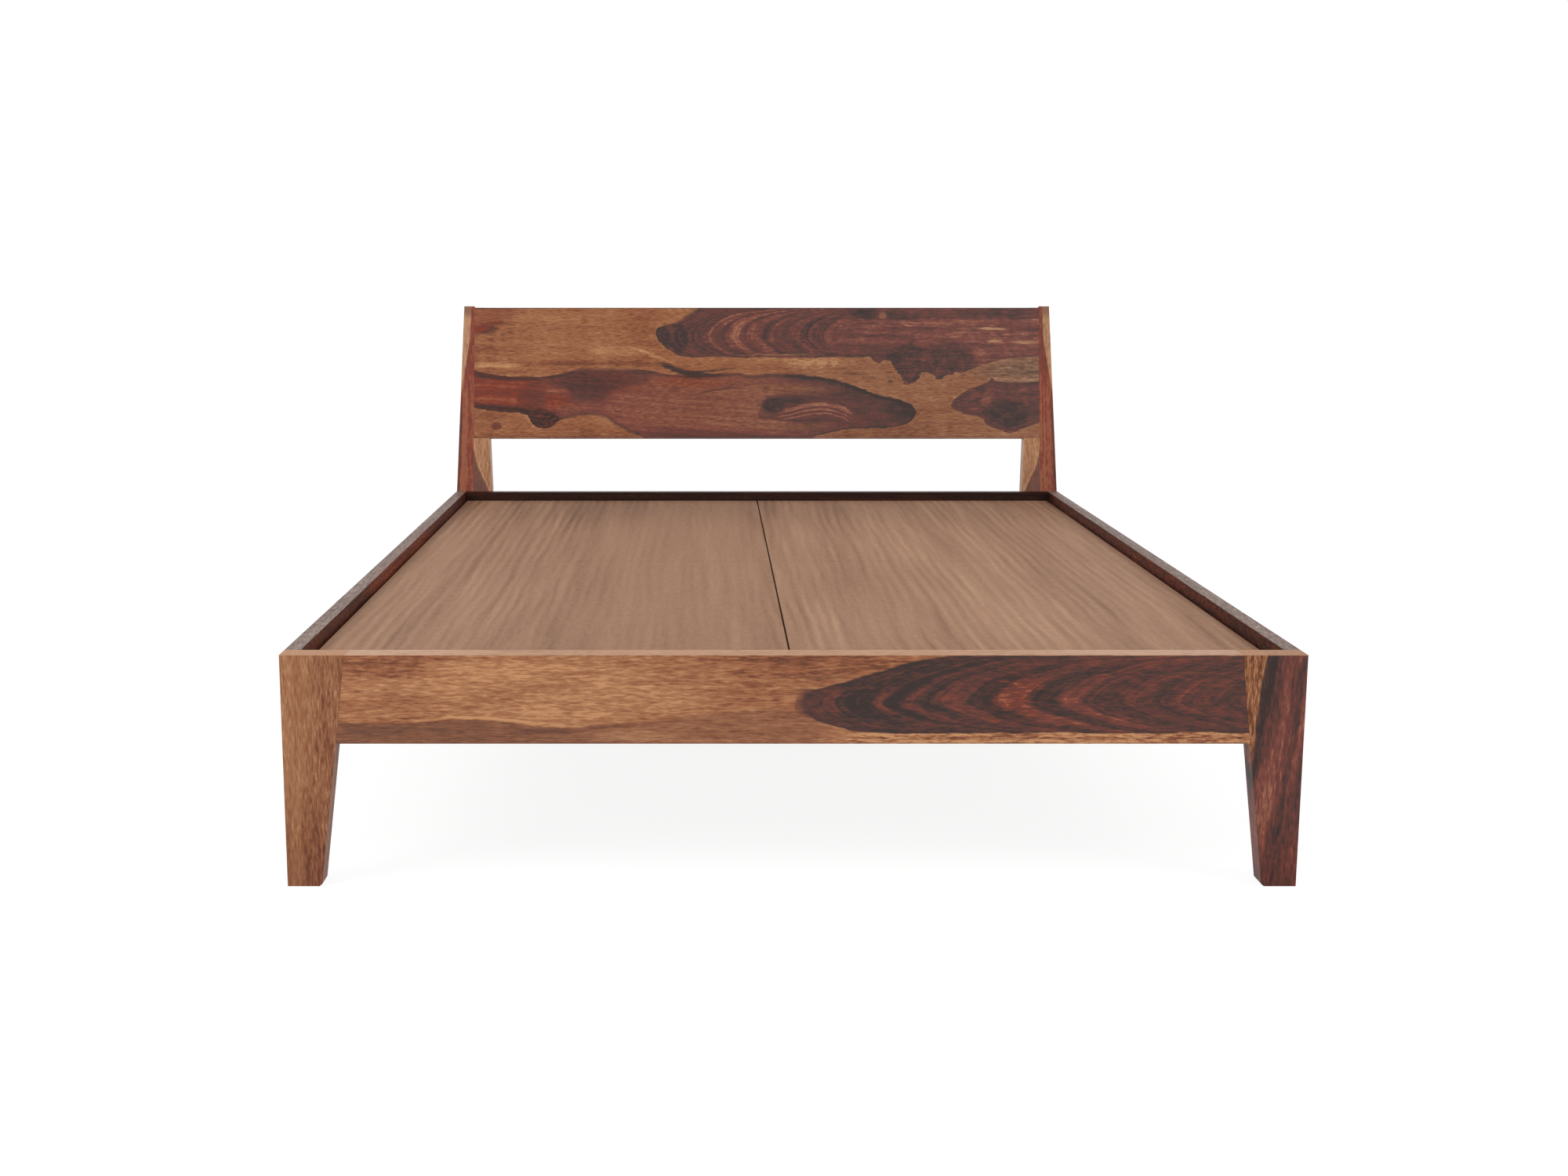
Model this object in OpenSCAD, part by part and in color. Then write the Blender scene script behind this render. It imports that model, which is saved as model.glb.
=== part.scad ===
// Wooden double bed with a raked headboard panel, tapered legs and a loose plywood deck.
// Millimetres. +Z is up, the foot end faces -Y, and the origin is on the floor
// at the middle of the bed's overall length and width.

/* [Mattress space] */
// Clear width between the side rails
clear_w = 1530; // [1350:10:1830]
// Clear length between the front rail and the rear rail
clear_l = 2040; // [1900:10:2150]

/* [Rails] */
// Height of the rail tops above the floor
rail_top = 370; // [340:5:430]
// Height of every rail, from bottom edge to top edge
rail_h = 140; // [134:1:160]
// Thickness of the front rail and of the front legs
front_t = 40; // [38:1:50]
// Thickness of each side rail
side_t = 25; // [22:1:32]
// Thickness of the rear rail
rear_t = 25; // [20:1:32]

/* [Legs and posts] */
// Width of a front leg at the rail top
leg_w = 100; // [92:1:115]
// Width of a rear post at the rail top
post_w = 92; // [86:1:110]
// Width of a foot at the floor
foot_w = 54; // [50:1:70]
// Chamfer at the inner corner of each foot
foot_ease = 4; // [3:1:12]
// Thickness of the rear posts, front to back
post_t = 40; // [36:1:44]
// Width of the outer of the two staves that each rear post is glued up from
stave_w = 44; // [40:1:48]
// Length of a post above the rail tops, along its slope
post_rise = 490; // [490:5:600]
// Backward lean of the posts above the rail tops, in degrees
post_rake = 12; // [6:1:16]
// Width of a post at its top
post_top_w = 51; // [48:1:66]
// How far a post's outer edge draws in by its top
post_draw_in = 17; // [8:1:24]

/* [Headboard panel] */
// Gap from the rail tops to the panel's bottom edge, along the slope
panel_lift = 140; // [90:1:142]
// Height of the panel, along the slope
panel_h = 346; // [260:1:348]
// Thickness of the panel, which is also the depth of the posts' rebate
panel_t = 20; // [18:1:22]

/* [Front joints] */
// Thickness of the front rail's tenons
tenon_t = 14; // [10:1:16]
// Distance from the front face to the tenon
tenon_setback = 9; // [6:1:11]
// Wood left in the leg beyond the end of the tenon
tenon_stop = 45; // [40:1:52]
// Shoulder above and below each tenon
tenon_shoulder = 20; // [12:1:28]

/* [Deck] */
// Depth of the deck's top below the rail tops
deck_drop = 22; // [15:1:24]
// Thickness of the plywood panels
deck_t = 12; // [9:1:15]
// Gap between the deck and each side rail
deck_side_gap = 6; // [2:1:10]
// Gap between the deck and each end rail
deck_end_gap = 2; // [1:1:6]
// Width of the seams between the four panels
deck_seam = 3; // [1:1:6]

/* [Supports] */
// Width of a bearer
bearer_w = 70; // [50:1:90]
// Thickness of a bearer and height of the end ledgers
bearer_t = 25; // [22:1:28]
// Gap between a bearer's end and the side rail
bearer_end_gap = 2; // [1:1:4]
// Depth of the ledgers from the rail's face
ledger_w = 30; // [24:1:40]
// Height of the side ledgers
ledger_h = 42; // [36:1:55]
// Gap between a ledger's end and the corner bracket beside it
ledger_gap = 10; // [4:1:20]
// Width of the centre beam
beam_w = 45; // [40:1:60]
// Height of the centre beam
beam_h = 72; // [62:1:76]
// Width of the square centre leg
centre_leg_w = 50; // [40:1:60]

/* [Corner brackets] */
// Length of the arm along the side rail
bracket_arm = 80; // [72:1:100]
// Length of the leaf across the leg
bracket_leaf = 60; // [54:1:64]
// Height of the bracket
bracket_h = 86; // [76:1:90]
// Thickness of the steel
bracket_t = 4; // [3:0.5:6]
// Distance from the rail's bottom edge up to the bracket
bracket_lift = 8; // [4:1:14]
// Distance from the corner to the bolts in the leaf
leaf_bolt_x = 35; // [32:1:40]
// Distance from the corner to the bolts in the arm
arm_bolt_y = 55; // [48:1:62]
// Distance from the bracket's top and bottom to its bolts
bolt_margin = 18; // [14:1:24]

/* [Beam hangers and leg plate] */
// Thickness of the steel of a hanger
hanger_t = 2.5; // [2:0.5:4]
// Length of a hanger's seat under the beam
hanger_seat = 40; // [30:1:60]
// Height of a hanger's cheeks and ears above its seat
hanger_h = 56; // [46:1:60]
// Width of a hanger's ear on each side of the beam
hanger_ear = 24; // [18:1:30]
// Thickness of the centre leg's plate
plate_t = 4; // [3:0.5:6]
// Length of the centre leg's plate
plate_l = 112; // [100:1:140]

/* [Fasteners] */
// Shank diameter of the machine bolts
bolt_d = 8; // [6:1:8]
// Head diameter of the machine bolts
bolt_head_d = 14; // [12:0.5:16]
// Head height of the machine bolts
bolt_head_h = 4.5; // [3:0.5:6]
// Outside diameter of the threaded inserts
insert_d = 12; // [11:0.5:13]
// Length of the threaded inserts
insert_l = 12; // [9:1:13]
// Diameter of the rail dowels
dowel_d = 10; // [8:1:12]
// Length of the rail dowels
dowel_l = 40; // [24:1:44]
// Distance from the rail's top and bottom edges to the dowels
dowel_margin = 35; // [25:1:45]
// Shank diameter of the wood screws
screw_d = 4; // [3:0.5:5]
// Head diameter of the wood screws
screw_head_d = 8; // [7:0.5:9]
// Head height of the wood screws
screw_head_h = 2.5; // [2:0.5:3.5]
// Length of the screws that hold ledgers and bearers
long_screw_l = 43; // [38:1:46]
// Length of the screws that hold the leg plate and the headboard panel
short_screw_l = 30; // [26:1:34]
// Length of the screws that hold the hangers
hanger_screw_l = 20; // [14:1:22]
// Length of the centre leg's stud
stud_l = 64; // [50:1:70]

/* [Clearances] */
// Gap left for glue beside tenons and at the panel's ends
glue_gap = 0.2; // [0.1:0.1:0.4]
// Gap between the beam and each cheek of its hangers
hanger_fit = 0.3; // [0.1:0.1:0.5]
// Clearance around a bolt in the steel and in the rear rail, on the diameter
bolt_clear = 1; // [0.5:0.1:1.5]
// Clearance around screws, dowels, studs and inserts, on the diameter
hole_clear = 0.2; // [0.1:0.1:0.4]
// Spare depth at the bottom of a blind hole
hole_spare = 1; // [0.5:0.5:1.5]

/* [Hidden] */
$fn = 32;
LEFT = -1;
RIGHT = 1;
FRONT = -1;
REAR = 1;
wood_dark = "#6b3a26";
wood_mid = "#96552f";
wood_light = "#c08552";
pine = "#c9a878";
plywood = "#b08a66";
steel = "#8d9196";
zinc = "#b9bcc0";
beech = "#cfae82";

// One bearer for each cross_bearer name in the list of nodes
bearer_count = 5;

// Widths and heights
overall_w = clear_w + 2 * side_t;
half_w = overall_w / 2;
half_clear = clear_w / 2;
rail_bottom = rail_top - rail_h;
deck_top = rail_top - deck_drop;
deck_under = deck_top - deck_t;
bearer_under = deck_under - bearer_t;
beam_bottom = bearer_under - beam_h;
centre_leg_top = beam_bottom - plate_t;
post_top_z = rail_top + post_rise * cos(post_rake);
stave_x = half_w - stave_w;
post_top_inner_x = half_w - post_draw_in - post_top_w;
foot_chamfer = min(foot_ease, foot_w - stave_w - 1);
tenon_end_x = half_w - tenon_stop;

// Places along the bed
overall_l = front_t + clear_l + rear_t + post_rise * sin(post_rake) + post_t * cos(post_rake);
y_front = -overall_l / 2;
y_leg_back = y_front + front_t;
y_rear_rail = y_leg_back + clear_l;
y_post = y_rear_rail + rear_t;
y_mid = (y_leg_back + y_rear_rail) / 2;
bearer_pitch = clear_l / (bearer_count + 1);
bearer_y = [for (i = [1 : bearer_count]) y_leg_back + i * bearer_pitch];
side_ledger_front = y_leg_back + bracket_arm + ledger_gap;
side_ledger_rear = y_rear_rail - bracket_arm - ledger_gap;
end_ledger_half = half_clear - bracket_leaf - ledger_gap;

// Hole sizes and fastener places
insert_hole_d = insert_d + hole_clear;
dowel_hole_d = dowel_d + hole_clear;
screw_hole_d = screw_d + hole_clear;
stud_hole_d = bolt_d + hole_clear;
bolt_hole_d = bolt_d + bolt_clear;
bracket_bottom = rail_bottom + bracket_lift;
bolt_z = [bracket_bottom + bolt_margin, bracket_bottom + bracket_h - bolt_margin];
dowel_x = half_clear + side_t / 2;
dowel_z = [rail_bottom + dowel_margin, rail_top - dowel_margin];
counterbore = screw_head_h + 0.5;
ledger_screw_x = half_clear - ledger_w / 2;
ledger_screw_y = [for (i = [0 : bearer_count]) y_leg_back + (i + 0.5) * bearer_pitch];
ledger_screw_z = bearer_under - ledger_h / 2;
end_screw_x = [-0.86, -0.3, 0.3, 0.86] * end_ledger_half;
end_screw_z = bearer_under + bearer_t / 2;
hanger_cheek_x = beam_w / 2 + hanger_fit + hanger_t;
hanger_screw_x = hanger_cheek_x + hanger_ear / 2;
hanger_screw_z = [beam_bottom + hanger_h / 5, beam_bottom + hanger_h * 4 / 5];
plate_screw_x = beam_w / 4;
plate_screw_y = (plate_l + centre_leg_w) / 4;
stud_reach = (stud_l - plate_t) / 2;
panel_screw_x = (stave_x + post_top_inner_x) / 2;
panel_screw_s = [for (share = [0.13, 0.38, 0.62, 0.87]) panel_lift + share * panel_h];

// Width of a leg or post at a height below the rail tops, from its width there
function taper_width(z, top_w) = foot_w + (top_w - foot_w) * z / rail_top;

// Face of an end rail that looks into the bed, and the rear face that a rail's end butts on
function end_face(end) = end == FRONT ? y_leg_back : y_rear_rail;
function butt_face(end) = end == FRONT ? y_leg_back : y_post;

// Wood between the bracket's leaf and its threaded inserts
function leaf_skin(end) = end == FRONT ? 0 : rear_t;

// Box from its lowest corner to its highest corner
module block(lo, hi) {
    translate(lo) cube(hi - lo);
}

// Outline in X and Z, carried from y0 back to y1
module front_slab(y0, y1, points) {
    translate([0, y1, 0]) rotate([90, 0, 0]) linear_extrude(y1 - y0) polygon(points);
}

// Outline in Y and Z, carried from x0 across to x1
module side_slab(x0, x1, points) {
    translate([x0, 0, 0]) rotate([90, 0, 90]) linear_extrude(x1 - x0) polygon(points);
}

// Puts a piece that is drawn on the right on the side asked for
module on_side(side) {
    if (side == RIGHT) {
        children();
    } else {
        mirror([1, 0, 0]) children();
    }
}

// Inner corner on the right: local X and local Y both point into the bed
module in_right_corner(end) {
    if (end == FRONT) {
        translate([half_clear, y_leg_back, 0]) mirror([1, 0, 0]) children();
    } else {
        translate([half_clear, y_rear_rail, 0]) rotate([0, 0, 180]) children();
    }
}

// Raked part of the posts: local Y is its depth and local Z runs up the slope
module on_slope() {
    translate([0, y_post, rail_top]) rotate([-post_rake, 0, 0]) children();
}

// Places of the fasteners: the head is on local +Z and its seat is at local Z = 0
module at_leaf_bolts() {
    for (z = bolt_z) translate([leaf_bolt_x, bracket_t, z]) rotate([-90, 0, 0]) children();
}

module at_arm_bolts() {
    for (z = bolt_z) translate([bracket_t, arm_bolt_y, z]) rotate([0, 90, 0]) children();
}

module at_right_dowels(end) {
    for (z = dowel_z) translate([dowel_x, butt_face(end), z]) rotate([90, 0, 0]) children();
}

module at_right_ledger_screws() {
    for (y = ledger_screw_y)
        translate([half_clear - ledger_w + counterbore, y, ledger_screw_z]) rotate([0, -90, 0]) children();
}

module at_end_ledger_screws(end) {
    seat_y = end_face(end) - end * (ledger_w - counterbore);
    for (x = end_screw_x) translate([x, seat_y, end_screw_z]) rotate([end * 90, 0, 0]) children();
}

module at_hanger_screws(end) {
    seat_y = end_face(end) - end * hanger_t;
    for (x = [-hanger_screw_x, hanger_screw_x], z = hanger_screw_z)
        translate([x, seat_y, z]) rotate([end * 90, 0, 0]) children();
}

module at_bearer_screws(places_x, places_y) {
    for (x = places_x, y = places_y) translate([x, y, deck_under - counterbore]) children();
}

module at_plate_screws() {
    for (x = [-plate_screw_x, plate_screw_x], y = [-plate_screw_y, plate_screw_y])
        translate([x, y_mid + y, centre_leg_top]) rotate([180, 0, 0]) children();
}

module at_right_panel_screws() {
    on_slope() for (s = panel_screw_s)
        translate([panel_screw_x, post_t, s]) rotate([-90, 0, 0]) children();
}

// Wood screw with a flat-bottomed head and a hexagon socket
module wood_screw(length) {
    difference() {
        union() {
            cylinder(d = screw_head_d, h = screw_head_h);
            translate([0, 0, -length]) cylinder(d = screw_d, h = length);
        }
        translate([0, 0, screw_head_h / 2]) cylinder(d = screw_head_d * 0.4, h = screw_head_h, $fn = 6);
    }
}

// Machine bolt with a hexagon socket
module machine_bolt(length) {
    difference() {
        union() {
            cylinder(d = bolt_head_d, h = bolt_head_h);
            translate([0, 0, -length]) cylinder(d = bolt_d, h = length);
        }
        translate([0, 0, bolt_head_h / 2]) cylinder(d = bolt_head_d * 0.42, h = bolt_head_h, $fn = 6);
    }
}

// Blind hole for a screw's shank, open 1 mm past its seat
module shank_hole(length) {
    translate([0, 0, -length - hole_spare]) cylinder(d = screw_hole_d, h = length + hole_spare + 1);
}

// Recess that takes a screw's head below the surface
module head_recess() {
    cylinder(d = screw_head_d + 1, h = counterbore + 1);
}

// Threaded insert whose mouth lies a given depth below the bolt head's seat
module insert_at(depth) {
    translate([0, 0, -depth - insert_l]) difference() {
        cylinder(d = insert_d, h = insert_l);
        translate([0, 0, -1]) cylinder(d = bolt_d + hole_clear, h = insert_l + 2);
    }
}

module insert_hole(depth) {
    hole_l = insert_l + hole_spare;
    translate([0, 0, -depth - hole_l]) cylinder(d = insert_hole_d, h = hole_l + 1);
}

module bolt_hole(length) {
    translate([0, 0, -length - 1]) cylinder(d = bolt_hole_d, h = length + 2);
}

module dowel_hole() {
    cylinder(d = dowel_hole_d, h = dowel_l + hole_spare, center = true);
}

// Right-hand tenon of the front rail, or its mortise when grown by a gap
module front_tenon(grow, end_spare) {
    block(
        [half_w - leg_w - 10, y_front + tenon_setback - grow, rail_bottom + tenon_shoulder - grow],
        [tenon_end_x + end_spare, y_front + tenon_setback + tenon_t + grow, rail_top - tenon_shoulder + grow]
    );
}

// Front leg: plumb outer edge, inner edge tapered from the rail top to the floor
module front_leg(side) {
    color(side == RIGHT ? wood_dark : wood_mid) on_side(side) difference() {
        front_slab(y_front, y_leg_back, [
            [half_w - foot_w + foot_chamfer, 0],
            [half_w, 0],
            [half_w, rail_top],
            [half_w - leg_w, rail_top],
            [half_w - taper_width(foot_chamfer, leg_w), foot_chamfer]
        ]);
        front_tenon(glue_gap, hole_spare);
        at_right_dowels(FRONT) dowel_hole();
        in_right_corner(FRONT) at_leaf_bolts() insert_hole(bracket_t);
    }
}

// Front rail: one board, cut to the slope of the legs, with a tenon at each end
module front_rail() {
    top_x = half_w - leg_w - glue_gap;
    bottom_x = half_w - taper_width(rail_bottom, leg_w) - glue_gap;
    color(wood_mid) difference() {
        union() {
            front_slab(y_front, y_leg_back, [
                [-bottom_x, rail_bottom],
                [bottom_x, rail_bottom],
                [top_x, rail_top],
                [-top_x, rail_top]
            ]);
            front_tenon(0, 0);
            mirror([1, 0, 0]) front_tenon(0, 0);
        }
        at_end_ledger_screws(FRONT) shank_hole(long_screw_l);
        at_hanger_screws(FRONT) shank_hole(hanger_screw_l);
    }
}

module side_rail(side) {
    color(wood_mid) on_side(side) difference() {
        block([half_clear, y_leg_back, rail_bottom], [half_w, y_post, rail_top]);
        for (end = [FRONT, REAR]) {
            at_right_dowels(end) dowel_hole();
            in_right_corner(end) at_arm_bolts() insert_hole(bracket_t);
        }
        at_right_ledger_screws() shank_hole(long_screw_l);
    }
}

// Rear rail: lies in front of the posts, between the side rails
module rear_rail() {
    end_x = half_clear - glue_gap;
    color(wood_dark) difference() {
        block([-end_x, y_rear_rail, rail_bottom], [end_x, y_post, rail_top]);
        for (side = [LEFT, RIGHT])
            on_side(side) in_right_corner(REAR) at_leaf_bolts() bolt_hole(bracket_t + rear_t);
        at_end_ledger_screws(REAR) shank_hole(long_screw_l);
        at_hanger_screws(REAR) shank_hole(hanger_screw_l);
    }
}

// Side view of a rear post: upright to the rail tops, then raked back
module post_side_view() {
    run = sin(post_rake);
    lift = cos(post_rake);
    side_slab(0, half_w + 1, [
        [y_post, 0],
        [y_post, rail_top],
        [y_post + post_rise * run, rail_top + post_rise * lift],
        [y_post + post_rise * run + post_t * lift, rail_top + post_rise * lift - post_t * run],
        [y_post + post_t, rail_top - post_t * tan(post_rake / 2)],
        [y_post + post_t, 0]
    ]);
}

// Front view of one stave, cut to the post's side view
module post_stave(points) {
    intersection() {
        front_slab(y_post - 1, y_front + overall_l + 1, points);
        post_side_view();
    }
}

module rear_post_outer_stave(side) {
    above = post_top_z + 5;
    color(wood_dark) on_side(side) difference() {
        post_stave([
            [stave_x, 0],
            [half_w, 0],
            [half_w, rail_top],
            [half_w - post_draw_in, post_top_z],
            [half_w - post_draw_in, above],
            [stave_x, above]
        ]);
        at_right_dowels(REAR) dowel_hole();
    }
}

// Inner stave: rebated behind the headboard panel
module rear_post_inner_stave(side) {
    above = post_top_z + 5;
    color(wood_light) on_side(side) difference() {
        post_stave([
            [half_w - foot_w + foot_chamfer, 0],
            [stave_x, 0],
            [stave_x, above],
            [post_top_inner_x, above],
            [post_top_inner_x, post_top_z],
            [half_w - post_w, rail_top],
            [half_w - taper_width(foot_chamfer, post_w), foot_chamfer]
        ]);
        on_slope() block([half_w - post_w - 5, -5, panel_lift - glue_gap], [stave_x, panel_t, post_rise + 5]);
        in_right_corner(REAR) at_leaf_bolts() insert_hole(bracket_t + rear_t);
        at_right_panel_screws() shank_hole(short_screw_l);
    }
}

// Headboard panel: lies in the rebates, flush with the outer staves
module headboard_panel() {
    end_x = stave_x - glue_gap;
    color(wood_mid) difference() {
        on_slope() block([-end_x, 0, panel_lift], [end_x, panel_t, panel_lift + panel_h]);
        for (side = [LEFT, RIGHT]) on_side(side) at_right_panel_screws() shank_hole(short_screw_l);
    }
}

module headboard_screws() {
    color(zinc) for (side = [LEFT, RIGHT]) on_side(side) at_right_panel_screws() wood_screw(short_screw_l);
}

// Side ledger: carries the bearers
module side_ledger(side) {
    color(pine) on_side(side) difference() {
        block(
            [half_clear - ledger_w, side_ledger_front, bearer_under - ledger_h],
            [half_clear, side_ledger_rear, bearer_under]
        );
        at_right_ledger_screws() {
            shank_hole(long_screw_l);
            head_recess();
        }
        at_bearer_screws([ledger_screw_x], bearer_y) shank_hole(long_screw_l);
    }
}

module side_ledger_screws(side) {
    color(zinc) on_side(side) at_right_ledger_screws() wood_screw(long_screw_l);
}

// End ledger: carries the end of the deck and lies on the centre beam
module end_ledger(end) {
    inner_y = end_face(end) - end * ledger_w;
    color(pine) difference() {
        block(
            [-end_ledger_half, min(end_face(end), inner_y), bearer_under],
            [end_ledger_half, max(end_face(end), inner_y), deck_under]
        );
        at_end_ledger_screws(end) {
            shank_hole(long_screw_l);
            head_recess();
        }
    }
}

module end_ledger_screws(end) {
    color(zinc) at_end_ledger_screws(end) wood_screw(long_screw_l);
}

// Bearer across the bed, numbered from the foot end
module cross_bearer(number) {
    y = bearer_y[number - 1];
    end_x = half_clear - bearer_end_gap;
    color(pine) difference() {
        block([-end_x, y - bearer_w / 2, bearer_under], [end_x, y + bearer_w / 2, deck_under]);
        at_bearer_screws([-ledger_screw_x, 0, ledger_screw_x], [y]) {
            shank_hole(long_screw_l);
            head_recess();
        }
    }
}

module bearer_screws() {
    color(zinc) at_bearer_screws([-ledger_screw_x, 0, ledger_screw_x], bearer_y) wood_screw(long_screw_l);
}

// Centre beam: runs under the bearers, from hanger to hanger
module centre_beam() {
    color(pine) difference() {
        block(
            [-beam_w / 2, y_leg_back + hanger_t, beam_bottom],
            [beam_w / 2, y_rear_rail - hanger_t, bearer_under]
        );
        at_bearer_screws([0], bearer_y) shank_hole(long_screw_l);
        at_plate_screws() shank_hole(short_screw_l);
        translate([0, y_mid, beam_bottom - 1]) cylinder(d = stud_hole_d, h = stud_reach + hole_spare + 1);
    }
}

// Steel hanger: a back plate with ears, a seat and two cheeks
module beam_hanger(end) {
    cheek_in = beam_w / 2 + hanger_fit;
    top_z = beam_bottom + hanger_h;
    seat_z = beam_bottom - hanger_t;
    color(steel) translate([0, end_face(end), 0]) mirror([0, end == FRONT ? 0 : 1, 0]) difference() {
        union() {
            block([-hanger_cheek_x - hanger_ear, 0, seat_z], [hanger_cheek_x + hanger_ear, hanger_t, top_z]);
            block([-hanger_cheek_x, 0, seat_z], [hanger_cheek_x, hanger_seat, beam_bottom]);
            for (side = [LEFT, RIGHT])
                on_side(side) block([cheek_in, 0, seat_z], [hanger_cheek_x, hanger_seat, top_z]);
        }
        for (x = [-hanger_screw_x, hanger_screw_x], z = hanger_screw_z)
            translate([x, -1, z]) rotate([-90, 0, 0]) cylinder(d = screw_hole_d, h = hanger_t + 2);
    }
}

module hanger_screws(end) {
    color(zinc) at_hanger_screws(end) wood_screw(hanger_screw_l);
}

module centre_leg() {
    color(pine) difference() {
        block(
            [-centre_leg_w / 2, y_mid - centre_leg_w / 2, 0],
            [centre_leg_w / 2, y_mid + centre_leg_w / 2, centre_leg_top]
        );
        translate([0, y_mid, centre_leg_top - stud_reach - hole_spare])
            cylinder(d = stud_hole_d, h = stud_l);
    }
}

module centre_leg_plate() {
    color(steel) difference() {
        block(
            [-beam_w / 2, y_mid - plate_l / 2, centre_leg_top],
            [beam_w / 2, y_mid + plate_l / 2, beam_bottom]
        );
        at_plate_screws() shank_hole(short_screw_l);
        translate([0, y_mid, centre_leg_top - 1]) cylinder(d = stud_hole_d, h = plate_t + 2);
    }
}

module centre_leg_stud() {
    color(zinc) translate([0, y_mid, centre_leg_top - stud_reach]) cylinder(d = bolt_d, h = stud_l);
}

module centre_leg_plate_screws() {
    color(zinc) at_plate_screws() wood_screw(short_screw_l);
}

// Corner bracket: a leaf across the end of the bed and an arm along the side rail
module corner_bracket(side, end) {
    color(steel) on_side(side) in_right_corner(end) difference() {
        union() {
            block([0, 0, bracket_bottom], [bracket_leaf, bracket_t, bracket_bottom + bracket_h]);
            block([0, 0, bracket_bottom], [bracket_t, bracket_arm, bracket_bottom + bracket_h]);
        }
        at_leaf_bolts() bolt_hole(bracket_t);
        at_arm_bolts() bolt_hole(bracket_t);
    }
}

module corner_bolts(side, end) {
    color(zinc) on_side(side) in_right_corner(end) {
        at_leaf_bolts() machine_bolt(bracket_t + leaf_skin(end) + insert_l);
        at_arm_bolts() machine_bolt(bracket_t + insert_l);
    }
}

module corner_inserts(side, end) {
    color(zinc) on_side(side) in_right_corner(end) {
        at_leaf_bolts() insert_at(bracket_t + leaf_skin(end));
        at_arm_bolts() insert_at(bracket_t);
    }
}

module rail_dowels(side, end) {
    color(beech) on_side(side) at_right_dowels(end) cylinder(d = dowel_d, h = dowel_l, center = true);
}

// Loose plywood panel: a quarter of the deck
module deck_panel(side, end) {
    outer_x = half_clear - deck_side_gap;
    end_y = end_face(end) - end * deck_end_gap;
    seam_y = y_mid + end * deck_seam / 2;
    color(plywood) on_side(side) block(
        [deck_seam / 2, min(end_y, seam_y), deck_under],
        [outer_x, max(end_y, seam_y), deck_top]
    );
}

front_leg(LEFT);  // front_leg_left
front_leg(RIGHT);  // front_leg_right
front_rail();
side_rail(LEFT);  // side_rail_left
side_rail(RIGHT);  // side_rail_right
rear_rail();
rear_post_outer_stave(LEFT);  // rear_post_outer_stave_left
rear_post_outer_stave(RIGHT);  // rear_post_outer_stave_right
rear_post_inner_stave(LEFT);  // rear_post_inner_stave_left
rear_post_inner_stave(RIGHT);  // rear_post_inner_stave_right
headboard_panel();
headboard_screws();
side_ledger(LEFT);  // side_ledger_left
side_ledger(RIGHT);  // side_ledger_right
side_ledger_screws(LEFT);  // side_ledger_screws_left
side_ledger_screws(RIGHT);  // side_ledger_screws_right
end_ledger(FRONT);  // front_ledger
end_ledger(REAR);  // rear_ledger
end_ledger_screws(FRONT);  // front_ledger_screws
end_ledger_screws(REAR);  // rear_ledger_screws
cross_bearer(1);  // cross_bearer_1
cross_bearer(2);  // cross_bearer_2
cross_bearer(3);  // cross_bearer_3
cross_bearer(4);  // cross_bearer_4
cross_bearer(5);  // cross_bearer_5
bearer_screws();
centre_beam();
beam_hanger(FRONT);  // beam_hanger_front
beam_hanger(REAR);  // beam_hanger_rear
hanger_screws(FRONT);  // hanger_screws_front
hanger_screws(REAR);  // hanger_screws_rear
centre_leg();
centre_leg_plate();
centre_leg_stud();
centre_leg_plate_screws();
corner_bracket(LEFT, FRONT);  // corner_bracket_front_left
corner_bracket(RIGHT, FRONT);  // corner_bracket_front_right
corner_bracket(LEFT, REAR);  // corner_bracket_rear_left
corner_bracket(RIGHT, REAR);  // corner_bracket_rear_right
corner_bolts(LEFT, FRONT);  // corner_bolts_front_left
corner_bolts(RIGHT, FRONT);  // corner_bolts_front_right
corner_bolts(LEFT, REAR);  // corner_bolts_rear_left
corner_bolts(RIGHT, REAR);  // corner_bolts_rear_right
corner_inserts(LEFT, FRONT);  // corner_inserts_front_left
corner_inserts(RIGHT, FRONT);  // corner_inserts_front_right
corner_inserts(LEFT, REAR);  // corner_inserts_rear_left
corner_inserts(RIGHT, REAR);  // corner_inserts_rear_right
rail_dowels(LEFT, FRONT);  // rail_dowels_front_left
rail_dowels(RIGHT, FRONT);  // rail_dowels_front_right
rail_dowels(LEFT, REAR);  // rail_dowels_rear_left
rail_dowels(RIGHT, REAR);  // rail_dowels_rear_right
deck_panel(LEFT, FRONT);  // deck_panel_front_left
deck_panel(RIGHT, FRONT);  // deck_panel_front_right
deck_panel(LEFT, REAR);  // deck_panel_rear_left
deck_panel(RIGHT, REAR);  // deck_panel_rear_right
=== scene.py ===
from math import cos, radians, sin

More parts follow.
